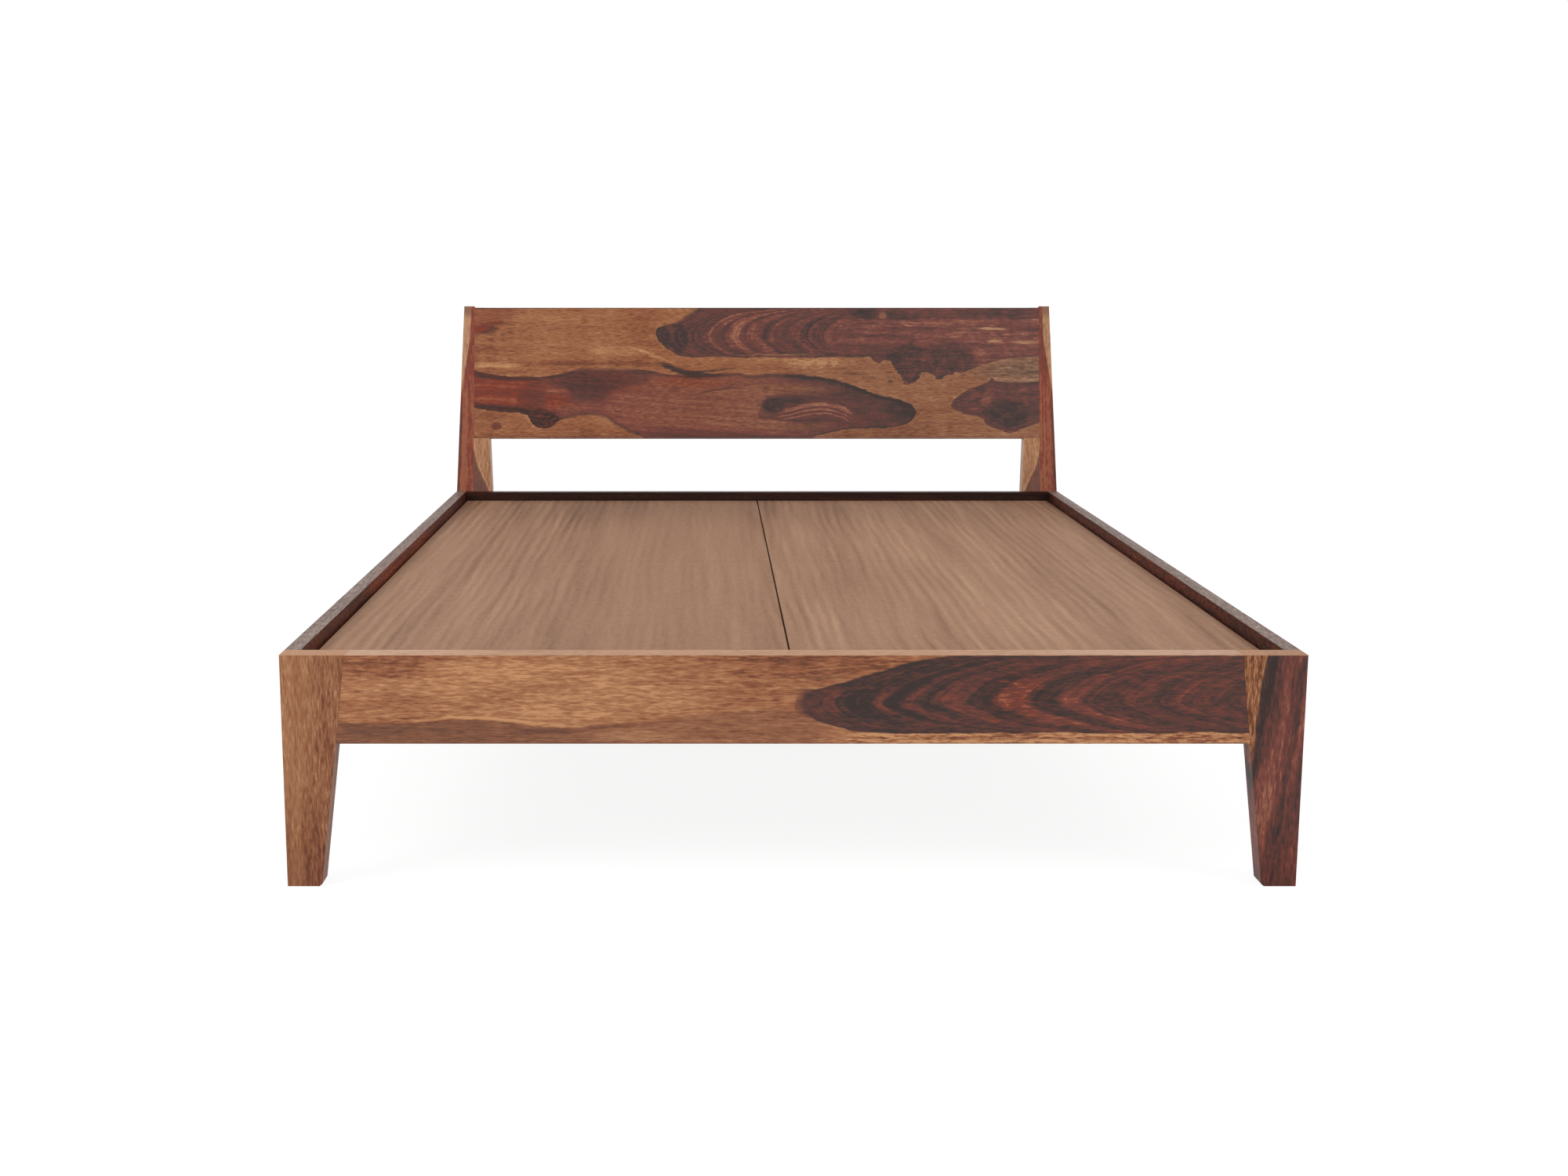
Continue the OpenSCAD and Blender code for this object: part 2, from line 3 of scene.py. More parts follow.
import bpy
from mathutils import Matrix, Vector


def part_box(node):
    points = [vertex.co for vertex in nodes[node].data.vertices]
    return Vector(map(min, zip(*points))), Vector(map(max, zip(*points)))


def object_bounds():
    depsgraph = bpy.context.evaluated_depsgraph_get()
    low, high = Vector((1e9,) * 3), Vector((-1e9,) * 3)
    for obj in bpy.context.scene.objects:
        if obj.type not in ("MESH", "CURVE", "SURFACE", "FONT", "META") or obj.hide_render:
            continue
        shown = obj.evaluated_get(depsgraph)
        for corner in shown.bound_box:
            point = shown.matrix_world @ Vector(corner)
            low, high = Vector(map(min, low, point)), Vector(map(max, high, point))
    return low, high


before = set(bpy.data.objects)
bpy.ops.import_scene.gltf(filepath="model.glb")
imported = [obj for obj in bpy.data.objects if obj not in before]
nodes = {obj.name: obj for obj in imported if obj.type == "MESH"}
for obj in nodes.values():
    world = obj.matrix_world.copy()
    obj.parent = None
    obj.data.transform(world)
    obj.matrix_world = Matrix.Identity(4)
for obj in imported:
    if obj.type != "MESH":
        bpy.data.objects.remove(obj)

cad_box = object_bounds()

# Sizes of the bed that the finishes are laid out by, in metres, and the rake of its posts
HALF_W = 0.790
RAIL_TOP = 0.370
RAIL_BOTTOM = 0.230
DECK_TOP = 0.348
DECK_PLY = 0.0024  # thickness of one ply
POST_RAKE = radians(12)
POST_DRAW_IN = 0.017  # of a post's outer edge, up to its top
POST_LENGTH = 0.490  # up the slope, from the rail tops
POST_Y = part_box("rear_post_outer_stave_left")[0].y
PANEL_LIFT = 0.140  # of the panel's bottom edge, up the slope from the rail tops
STAVE_X = 0.746  # where a post's two staves meet
REAR_RAIL_MIDDLE = sum(corner.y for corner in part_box("rear_rail")) / 2
SIDE_RAIL_MIDDLE = sum(corner.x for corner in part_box("side_rail_right")) / 2

# Depths under a rail's or leg's top between which the painted sheen of its top face begins
TOP_FADE = (0.0012, 0.0004)
# How far inside a rail the wood changes from the painted shade of its inner face to the other face's
FACE_CHANGE = 0.006
# Half the width of the change at the edge of the headboard's dark figures
FIGURE_EDGE = 0.0014
# Where the tips of the two flames lie, from the bed's middle
HEADBOARD_FLAME_TIP = -0.268
RAIL_FLAME_TIP = 0.004
# Ripples of the deck's veneer, in radians for each metre across
DECK_RIPPLES = 290


# ---- Shader building ----

class Wire:
    """A value in a finish. Arithmetic on it adds Math nodes."""

    def __init__(self, finish, socket):
        self.finish = finish
        self.socket = socket

    def __add__(self, other):
        return self.finish.math("ADD", self, other)

    def __sub__(self, other):
        return self.finish.math("SUBTRACT", self, other)

    def __rsub__(self, other):
        return self.finish.math("SUBTRACT", other, self)

    def __mul__(self, other):
        return self.finish.math("MULTIPLY", self, other)

    def __truediv__(self, other):
        return self.finish.math("DIVIDE", self, other)

    def __abs__(self):
        return self.finish.math("ABSOLUTE", self)

    __radd__ = __add__
    __rmul__ = __mul__


class Finish:
    """A material, or the world, that is built up from expressions."""

    def __init__(self, owner):
        owner.use_nodes = True
        self.owner = owner
        self.tree = owner.node_tree

    def add(self, kind, settings=None, inputs=None, output=0):
        """Adds a node, sets its settings, then fills its sockets, and gives one of its outputs."""
        node = self.tree.nodes.new(kind)
        for key, value in (settings or {}).items():
            if key == "stops":
                self.set_stops(node.color_ramp.elements, value)
            elif key == "points":
                self.set_points(node.mapping, value)
            else:
                setattr(node, key, value)
        for key, value in (inputs or {}).items():
            self.fill(node.inputs[key], value)
        return Wire(self, node.outputs[output])

    def fill(self, socket, value):
        if isinstance(value, Wire):
            self.tree.links.new(value.socket, socket)
        else:
            socket.default_value = value

    @staticmethod
    def set_stops(elements, stops):
        while len(elements) < len(stops):
            elements.new(1)
        for element, (position, colour) in zip(elements, stops):
            element.position = position
            element.color = (*colour, 1)

    @staticmethod
    def set_points(mapping, points):
        curve = mapping.curves[0]
        while len(curve.points) < len(points):
            curve.points.new(1, 1)
        for point, (position, value) in zip(curve.points, points):
            point.location = (position, value)
            point.handle_type = "AUTO_CLAMPED"
        mapping.update()

    def math(self, operation, *values):
        """Adds a Math node."""
        return self.add("ShaderNodeMath", {"operation": operation}, dict(enumerate(values)))

    def place(self):
        """A point of the surface, in metres, in the bed's frame."""
        return self.add("ShaderNodeTexCoord", output="Object")

    def axis(self, number):
        """The place's x, y or z, which are numbers 0, 1 and 2."""
        return self.add("ShaderNodeSeparateXYZ", inputs={0: self.place()}, output=number)

    def point(self, x, y=0.0, z=0.0):
        return self.add("ShaderNodeCombineXYZ", inputs={0: x, 1: y, 2: z})

    def noise(self, point, scale, detail, roughness, seed):
        """Noise around 0 on a point that is stretched by a scale for each axis."""
        stretched = self.add("ShaderNodeVectorMath", {"operation": "MULTIPLY_ADD"},
                             {0: point, 1: scale, 2: (seed, seed * 0.7, seed * 1.3)})
        inputs = {"Vector": stretched, "Scale": 1.0, "Detail": detail, "Roughness": roughness}
        return self.add("ShaderNodeTexNoise", inputs=inputs) - 0.5

    def step(self, value, low, high):
        """Goes smoothly from 0 at low to 1 at high."""
        return self.add("ShaderNodeMapRange", {"interpolation_type": "SMOOTHSTEP"},
                        {0: value, 1: low, 2: high, 3: 0.0, 4: 1.0})

    def band(self, value, centre, half):
        """1 at the centre, falling smoothly to 0 at half on each side of it."""
        return self.step(abs(value - centre), half, 0.0)

    def spot(self, x, y, centre, radii):
        """1 in the middle of an ellipse and 0 outside it. Centre and radii are in millimetres."""
        across = x * (1000 / radii[0]) - centre[0] / radii[0]
        up = y * (1000 / radii[1]) - centre[1] / radii[1]
        return self.step(across * across + up * up, 1.0, 0.0)

    def spots(self, x, y, marks):
        """Sum of spots. Each mark has a strength, a centre and radii."""
        return sum(self.spot(x, y, centre, radii) * strength for strength, centre, radii in marks)

    def least(self, a, b):
        return self.math("MINIMUM", a, b)

    def most(self, a, b):
        return self.math("MAXIMUM", a, b)

    def clamp(self, value):
        return self.add("ShaderNodeClamp", inputs={0: value})

    def shift(self, start, mask, end):
        """A number that goes from start to end as the mask goes from 0 to 1."""
        return start + (end - start) * mask

    def mix(self, mask, start, end):
        """The same for colours."""
        return self.add("ShaderNodeMix", {"data_type": "RGBA"}, {0: mask, 6: start, 7: end}, output=2)

    def ramp(self, value, stops):
        """Turns a tone from 0 to 1 into a colour."""
        return self.add("ShaderNodeValToRGB", {"stops": stops}, {0: self.clamp(value)})

    def drawn(self, place, points):
        """A value that is drawn as a curve over a place. Places are in millimetres."""
        first, last = points[0][0], points[-1][0]
        low, high = min(p[1] for p in points), max(p[1] for p in points)
        shares = [((p[0] - first) / (last - first), (p[1] - low) / (high - low)) for p in points]
        along = self.add("ShaderNodeMapRange", inputs={0: place, 1: first / 1000, 2: last / 1000, 3: 0.0, 4: 1.0})
        return self.add("ShaderNodeFloatCurve", {"points": shares}, {"Value": along}) * (high - low) + low

    def line(self, place, points):
        """Height in metres of a line that is drawn in millimetres."""
        return self.drawn(place, points) * 0.001

    def close(self, colour, roughness, height, depth, metallic=0.0, specular=0.5):
        """Feeds the shader and gives the material."""
        sockets = self.tree.nodes["Principled BSDF"].inputs
        self.fill(sockets["Base Color"], colour)
        self.fill(sockets["Roughness"], roughness)
        self.fill(sockets["Metallic"], metallic)
        self.fill(sockets["Specular IOR Level"], specular)
        self.fill(sockets["Normal"], self.add("ShaderNodeBump", inputs={"Distance": depth, "Height": height}))
        return self.owner


# ---- Rosewood ----

# Sapwood from dark brown pores to pale gold
SAPWOOD = [
    (0.0, (0.120, 0.033, 0.010)),
    (0.2, (0.200, 0.060, 0.021)),
    (0.4, (0.275, 0.093, 0.035)),
    (0.7, (0.352, 0.150, 0.062)),
    (1.0, (0.500, 0.240, 0.105)),
]
# Heartwood from near black to orange-red
HEARTWOOD = [
    (0.0, (0.018, 0.007, 0.005)),
    (0.2, (0.044, 0.012, 0.007)),
    (0.4, (0.080, 0.017, 0.009)),
    (0.6, (0.130, 0.026, 0.012)),
    (0.8, (0.198, 0.025, 0.008)),
    (1.0, (0.270, 0.080, 0.032)),
]
# Heartwood that has greyed to mauve
MAUVE = [
    (0.0, (0.034, 0.020, 0.018)),
    (0.25, (0.068, 0.031, 0.026)),
    (0.5, (0.122, 0.038, 0.030)),
    (0.7, (0.170, 0.052, 0.039)),
    (0.85, (0.225, 0.082, 0.052)),
    (1.0, (0.330, 0.145, 0.082)),
]
# Sapwood that has greyed
DULL_SAPWOOD = [
    (0.0, (0.085, 0.042, 0.026)),
    (0.3, (0.150, 0.074, 0.043)),
    (0.6, (0.210, 0.108, 0.064)),
    (1.0, (0.360, 0.215, 0.130)),
]
# Wood greyed by a painted sheen, for top faces
SHEEN_GREYED_WOOD = [
    (0.0, (0.070, 0.054, 0.046)),
    (0.5, (0.185, 0.148, 0.130)),
    (1.0, (0.400, 0.335, 0.300)),
]


class Rosewood(Finish):
    """Oiled rosewood whose figure is laid out along, across and through one board."""

    def __init__(self, name, along, across, through, seed):
        super().__init__(bpy.data.materials.new(name))
        self.seed = seed
        self.along, self.across, depth = along(self), across(self), through(self)
        board = self.point(self.along, self.across, depth)
        self.wave = self.noise(board, (11, 26, 26), detail=2, roughness=0.5, seed=seed)
        self.ripple = self.noise(board, (50, 150, 150), detail=2, roughness=0.5, seed=seed + 1)
        grain = self.point(self.along, self.across + self.wave * 0.012, depth)
        fine_grain = self.point(self.along, self.across + self.ripple * 0.004, depth)
        self.fibre = self.noise(grain, (16, 150, 150), detail=5, roughness=0.75, seed=seed + 2)
        self.fleck = self.noise(fine_grain, (56, 360, 360), detail=3, roughness=0.6, seed=seed + 8)
        self.streak = self.noise(grain, (3.2, 60, 60), detail=4, roughness=0.65, seed=seed + 3)
        self.cloud = self.noise(board, (3, 10, 10), detail=2, roughness=0.5, seed=seed + 4)
        self.mottle = self.noise(board, (60, 150, 150), detail=3, roughness=0.65, seed=seed + 5)
        self.pore = self.step(self.noise(grain, (34, 300, 300), detail=2, roughness=0.5, seed=seed + 6), 0.06, 0.20)

    def sap_tone(self, level, contrast=1.0):
        """Plain sapwood: broad clouds, streaks, fine fibres and short dark pores."""
        tone = self.cloud * 0.5 + self.streak * 0.9 + self.fibre * 1.0 + self.fleck * 1.8 + self.mottle * 0.4
        tone = tone - self.pore * 0.2
        return tone * contrast + level

    def heart_grain(self, follow, pitch=150, contrast=1.0):
        """Fine lines that follow the growth rings, with fibres and pores over them."""
        ring = self.point(follow, self.across * 0.04)
        lines = self.noise(ring, (pitch, pitch, 1), detail=3, roughness=0.6, seed=self.seed + 7)
        tone = lines * 0.9 + self.fibre * 0.5 + self.fleck * 0.8 + self.mottle * 0.8 + self.cloud * 0.2
        return tone * contrast

    def growth_rings(self, place, tones):
        """Rings that are drawn over a place, uneven as the wood is. Tones are in hundredths."""
        return self.drawn(place + self.wave * 0.03 + self.ripple * 0.016 + self.mottle * 0.006, tones) * 0.01

    def finish(self, sap, heart, mask, haze=0.0, dull=0.0, sheen_grey=None, roughness=0.38, specular=0.35):
        """Turns the tones into colours, and sets the oil's sheen and the grain's relief."""
        pale = self.mix(dull, self.ramp(sap, SAPWOOD), self.ramp(sap, DULL_SAPWOOD))
        # A painted sheen greys the pale wood where it is asked for
        if sheen_grey:
            pale = self.mix(sheen_grey, pale, self.ramp(sap, SHEEN_GREYED_WOOD))
        dark = self.mix(haze, self.ramp(heart, HEARTWOOD), self.ramp(heart, MAUVE))
        colour = self.mix(self.clamp(mask), pale, dark)
        sheen = self.fibre * 0.2 + self.pore * 0.12 + roughness
        return self.close(colour, sheen, self.fibre * 0.5 - self.pore, depth=0.0002, specular=specular)


def along_x(f):
    return f.axis(0)


def along_y(f):
    return f.axis(1)


def along_z(f):
    return f.axis(2)


def outwards(side):
    """Gives a layout that runs from the bed's middle towards one side."""
    return lambda f: f.axis(0) * side


def up_slope(f):
    """Height up the raked part of the posts, from the rail tops."""
    return (f.axis(1) - POST_Y) * sin(POST_RAKE) + (f.axis(2) - RAIL_TOP) * cos(POST_RAKE)


def into_slope(f):
    """Depth into the raked part of the posts, from its front."""
    return (f.axis(1) - POST_Y) * cos(POST_RAKE) - (f.axis(2) - RAIL_TOP) * sin(POST_RAKE)


def up_panel(f):
    """Height up the headboard panel, from its bottom edge."""
    return up_slope(f) - PANEL_LIFT


def up_rail(f):
    """Height up the rails, from their bottom edges."""
    return f.axis(2) - RAIL_BOTTOM


def painted_top_sheen(f):
    """1 on the top faces of the rails and legs, where a painted sheen makes them paler than their sides."""
    return f.step(f.axis(2), RAIL_TOP - TOP_FADE[0], RAIL_TOP - TOP_FADE[1])


# Drawn lines of the headboard's figure: millimetres from the bed's middle and from the panel's bottom edge.
# A bend goes the other way: how far the rings lie to the right at each height. Rings and stripes give a tone in
# hundredths, over millimetres from the tip or from the arc.
FLAME_TOP = [(-272, 255), (-267, 283), (-262, 293), (-242, 299), (-212, 307), (-184, 327), (-159, 343), (-115, 372),
             (745, 400)]
FLAME_BOTTOM = [(-272, 300), (-267, 271), (-262, 260), (-254, 250), (-228, 232), (-202, 219), (-171, 215), (72, 214),
                (289, 215), (304, 210), (320, 199), (337, 205), (347, 205), (358, 191), (378, 170), (405, 145),
                (414, 148), (428, 158), (445, 174), (465, 170), (486, 157), (494, 159), (507, 170), (548, 176),
                (590, 192), (652, 209), (745, 219)]
FLAME_TIP_BEND = [(215, 96), (219, 65), (232, 40), (243, 21), (256, 7), (272, 0), (290, 11), (303, 36), (314, 64),
                  (331, 104), (346, 126)]
FLAME_INNER_BEND = [(215, 140), (221, 69), (228, 42), (242, 21), (259, 3), (272, 0), (285, 4), (300, 14), (317, 42),
                    (330, 83), (337, 131), (346, 220)]
FLAME_RINGS = [(0, 30), (16, 44), (30, 34), (45, 46), (60, 36), (74, 28), (82, 48), (90, 40), (98, 26), (107, 46),
               (116, 28), (128, 32), (136, 58), (150, 62), (162, 54), (171, 30), (182, 34), (192, 56), (208, 62),
               (222, 58), (232, 46), (240, 28), (250, 30), (258, 54), (270, 58), (282, 38), (298, 28), (310, 44),
               (324, 50), (336, 36), (350, 30), (360, 48), (367, 56), (376, 34), (398, 32), (410, 58), (420, 30),
               (440, 22), (448, 56), (458, 60), (470, 46), (490, 48)]
LOWER_TOP = [(-750, 180), (-694, 169), (-642, 164), (-590, 164), (-539, 167), (-500, 174), (-466, 182), (-394, 183),
             (-332, 182), (-285, 179), (-245, 171), (-203, 166), (-162, 164), (-110, 167), (-58, 172), (-11, 165),
             (41, 169), (93, 169), (144, 165), (196, 156), (238, 146), (279, 131), (320, 115), (362, 107), (393, 97),
             (411, 88), (419, 72), (424, 40)]
LOWER_BOTTOM = [(-750, 80), (-694, 70), (-642, 67), (-615, 63), (-598, 48), (-585, 32), (-564, 27), (-538, 32),
                (-526, 44), (-507, 52), (-476, 60), (-435, 64), (-404, 58), (-383, 44), (-357, 29), (-331, 16),
                (-306, 8), (-276, -6), (134, -6), (148, 4), (175, 10), (227, 21), (279, 26), (320, 28), (361, 30),
                (392, 37), (411, 50), (419, 64), (424, 96)]
PURPLE_UNDER = [(-640, 150), (-560, 141), (-505, 128), (-474, 104), (-436, 100), (-372, 127), (-291, 150), (-267, 168),
                (-230, 190)]
DARK_STREAK = [(-300, 197), (-270, 196), (-237, 191), (-203, 178), (-165, 169), (-118, 168), (-71, 171), (-20, 172)]
EYE_TOP = [(508, 70), (514, 90), (519, 102), (527, 107), (548, 122), (574, 135), (605, 146), (614, 151), (621, 160),
           (629, 151), (657, 149), (746, 148)]
EYE_BOTTOM = [(508, 100), (514, 83), (522, 75), (548, 63), (579, 58), (594, 50), (609, 34), (640, 21), (666, 14),
              (697, 24), (746, 43)]
LOOP_TOP = [(0, 48), (5, 66), (10, 81), (20, 102), (41, 112), (93, 113), (144, 110), (196, 102), (237, 86), (279, 68),
            (310, 50)]
LOOP_BOTTOM = [(0, 76), (5, 58), (14, 52), (41, 50), (92, 46), (154, 48), (196, 47), (248, 37), (279, 31), (310, 29)]
LOOP_ARC = [(0, 52), (46, 68), (89, 78), (136, 89), (169, 92), (211, 85), (249, 68), (277, 49), (310, 30)]
LOOP_STRIPES = [(-34, 0), (-29, 15), (-25, 70), (-20, 0), (-15, 75), (-10, 0), (-4, 100), (1, 90), (5, 0), (10, 0)]
UPPER_BRANCH = [(-215, 178), (-187, 175), (-135, 178), (-83, 183), (-31, 188), (20, 190)]
FINE_LINE = [(-187, 96), (-182, 110), (-156, 118), (-109, 128), (-62, 133), (-21, 130), (30, 122)]


def headboard_finish():
    """Two figures and an eye of heartwood, with sapwood between them."""
    f = Rosewood("rosewood_headboard", along_x, up_panel, into_slope, seed=2.0)
    x = f.along + f.ripple * 0.008 + f.wave * 0.007
    s = f.across + f.ripple * 0.006 + f.wave * 0.008
    flame, in_flame = headboard_flame(f, x, s)
    lower, in_lower, plain = headboard_lower_figure(f, x, s)
    eye, in_eye = headboard_eye(f, x, s)
    is_flame = f.step(in_flame, -FIGURE_EDGE, FIGURE_EDGE)
    soft = f.band(x, -0.41, 0.15) * 0.008 + f.band(x, 0.04, 0.14) * 0.005 + FIGURE_EDGE
    is_lower = f.step(in_lower, soft * -1.0, soft)
    is_eye = f.step(in_eye, -FIGURE_EDGE, FIGURE_EDGE)
    beside = f.step(f.most(f.most(in_flame, in_lower), in_eye), -0.020, 0.0)
    mask = f.most(f.most(is_flame, is_lower * plain), is_eye)

    blotches = f.noise(f.point(x, s), (24, 40, 1), detail=3, roughness=0.65, seed=83.0)
    heart = f.shift(f.shift(flame, is_lower, lower), is_eye, eye)
    heart = heart + blotches * f.shift(0.2, f.step(x, -0.1, 0.2), 0.75)
    browner = f.step(x, -0.63, -0.50) * f.shift(0.60, f.step(x, -0.20, 0.15), 1.0)
    redder = f.spots(x, s, [(0.5, (-523, 100), (48, 24)), (0.3, (-420, 150), (150, 46)), (0.5, (-563, 44), (62, 46)),
                            (0.6, (-686, 32), (24, 16)), (0.5, (-170, 150), (120, 24))])
    haze = f.most(is_flame * 0.85, browner - redder)
    sap, dull = headboard_sapwood(f, x, s, beside, is_lower)

    # Red patch and wedge in the top left corner, and a knot in the bottom left one
    patch = f.step(s - x * 0.52, 0.648, 0.664) * f.step(x, -0.60, -0.66)
    wedge = f.spots(x, s, [(1.0, (-716, 288), (42, 17)), (0.6, (-684, 305), (34, 8))])
    knot = f.step(f.spot(x, s, (-686, 32), (19, 12)) + f.mottle * 2.6 + f.fibre, 0.38, 0.66) * 0.9
    mask = f.most(mask, patch * 0.45 + wedge * 0.8 + knot)
    heart = f.shift(heart, f.most(patch * (1 - is_flame), knot), 0.70 + f.fibre * 0.9 - knot * 0.16)

    gold = headboard_gold(f, x, s)
    thin = headboard_thin_lines(f, x, s)
    sap = f.shift(sap, gold, 1.05 + f.fibre)
    mask = f.shift(f.shift(mask, gold, 0.15), thin, 1.0)
    return f.finish(sap, f.shift(heart, thin, 0.10), mask, haze, dull, specular=0.3)


def headboard_sapwood(f, x, s, beside, is_lower):
    """A pale halo beside the figures, gold streaks at the left, duller and browner to the right."""
    shimmer = f.noise(f.point(x + s * 0.3, s), (26, 5, 1), detail=2, roughness=0.6, seed=79.0)
    right_end = f.spot(x, s, (720, 180), (190, 52))
    sap = f.sap_tone(0.42, 0.8) + beside * (0.10 + f.spot(x, s, (-600, 40), (50, 50)) * 0.25)
    sap = sap - is_lower * 0.20 + shimmer * 0.30
    sap = sap + f.spot(x, s, (160, 200), (130, 19)) * (f.mottle * 2.0 + 0.26)
    sap = sap + f.spots(x, s, [(0.30, (-350, 232), (130, 16)), (0.50, (-690, 194), (90, 11)),
                               (0.10, (-500, 265), (130, 70))])
    sap = sap + f.spot(x, s + x * 0.41, (-285, 107), (66, 7)) * 0.40
    sap = sap + f.band(s, 0.203, 0.012) * f.band(x, 0.12, 0.26) * 0.16
    sap = sap - f.band(s, 0.199, 0.017) * f.step(f.band(x, -0.44, 0.22), 0.0, 0.4) * 0.24
    sap = sap + f.noise(f.point(x, s), (14, 1.5, 1), detail=2, roughness=0.5, seed=77.0) * 0.35
    sap = sap + right_end * (f.fibre * 1.4 + f.mottle * 0.8 + 0.07)
    dull = f.step(x, -0.25, 0.40) * 0.35 + right_end * 0.6 + is_lower * 0.25
    return sap, dull


def headboard_gold(f, x, s):
    """Gold streaks in the flame and along its bottom edge."""
    gold = f.spots(x, s, [(1.0, (626, 290), (50, 6)), (0.4, (560, 291), (70, 3)), (0.9, (628, 258), (26, 6)),
                          (0.5, (334, 326), (15, 11))])
    gold = gold + f.spot(x, s, (708, 255), (44, 8)) * (0.8 + f.fibre * 2.0)
    return f.clamp(gold + f.band(s - f.line(x, FLAME_BOTTOM), 0.0065, 0.003) * f.band(x, 0.055, 0.14) * 0.7)


def headboard_thin_lines(f, x, s):
    """Thin dark lines, small knots, a dark bottom edge, and painted shade along the top edge."""
    thin = f.band(s - f.line(x, UPPER_BRANCH), 0.0, 0.004) * f.band(x, -0.13, 0.12) * 1.2
    width = f.band(x, -0.195, 0.10) * 0.0085 + 0.0050
    streak = f.step(abs(s - f.line(x, DARK_STREAK)) + f.mottle * 0.006, width, width * 0.4)
    thin = thin + streak * f.step(f.band(x, -0.168, 0.125), 0.0, 0.4) * (0.94 + f.fibre * 0.9)
    thin = thin + f.band(s - f.line(x, LOWER_TOP), -0.001, 0.0045) * f.step(x, -0.08, 0.02) * 0.35
    thin = thin + f.step(abs(s - f.line(x, FINE_LINE)), 0.0034, 0.001) * f.band(x, -0.10, 0.11) * 0.7
    thin = thin + f.spots(x, s, [(0.3, (-213, 130), (16, 9)), (0.9, (353, 151), (10, 6)), (0.55, (258, 172), (50, 6)),
                                 (0.4, (300, 160), (22, 6)), (0.5, (-225, 303), (36, 2.5))])
    # The dark line along the top edge is painted shade
    return f.clamp(thin + f.band(s, 0.0035, 0.0045) * 0.35 + f.step(s, 0.3415, 0.3445) * 0.55)


def headboard_flame(f, x, s):
    """Upper figure: rings that open to the right, then straight streaks above dark lobes."""
    ragged = s + f.mottle * f.band(x, 0.44, 0.17) * 0.05
    soft_top = f.band(x, -0.165, 0.095) * 6 + 1
    inside = f.least((f.line(x, FLAME_TOP) - s) / soft_top, ragged - f.line(x, FLAME_BOTTOM))
    bend = f.shift(f.line(s, FLAME_TIP_BEND), f.step(x, -0.25, -0.05), f.line(s, FLAME_INNER_BEND))
    ring = x - bend - HEADBOARD_FLAME_TIP
    curved = f.growth_rings(ring, FLAME_RINGS) + f.noise(f.point(ring), (95, 1, 1), detail=3, roughness=0.7, seed=71.0)
    lines = f.noise(f.point(s, x * 0.04), (95, 95, 1), detail=3, roughness=0.7, seed=72.0)
    streaked = f.streak * 1.2 + 0.51 + lines * 0.5
    straight = f.step(x - s * 0.6, -0.005, 0.10)
    tone = f.shift(curved + f.heart_grain(ring, 130), straight, streaked + f.heart_grain(s, 130))
    tip = f.spots(x, s, [(1.0, (-253, 268), (26, 40)), (1.0, (-203, 262), (26, 46)), (0.3, (-228, 258), (44, 30))])
    lobes = f.spots(x, s, [(1.0, (402, 196), (64, 74)), (1.0, (500, 196), (98, 60)), (0.5, (350, 208), (30, 20))])
    lobes = f.clamp(lobes * 1.5)
    dark = f.clamp(tip * 1.6) * 0.34 - 0.04 + lobes * 0.32
    dark = dark + f.spots(x, s, [(-0.14, (-52, 285), (52, 62)), (0.34, (290, 334), (44, 22)),
                                 (0.28, (386, 330), (60, 22)), (0.22, (640, 335), (130, 16))])
    dark = dark + f.step(inside, 0.006, 0.0) * 0.14 - f.step(x, 0.30, 0.55) * 0.08
    light = f.spots(x, s, [(0.30, (447, 216), (22, 18)), (0.22, (588, 226), (26, 16))])
    light = light + f.noise(f.point(x, s), (110, 70, 1), detail=3, roughness=0.7, seed=89.0) * lobes * 0.9
    return tone - dark + light, inside


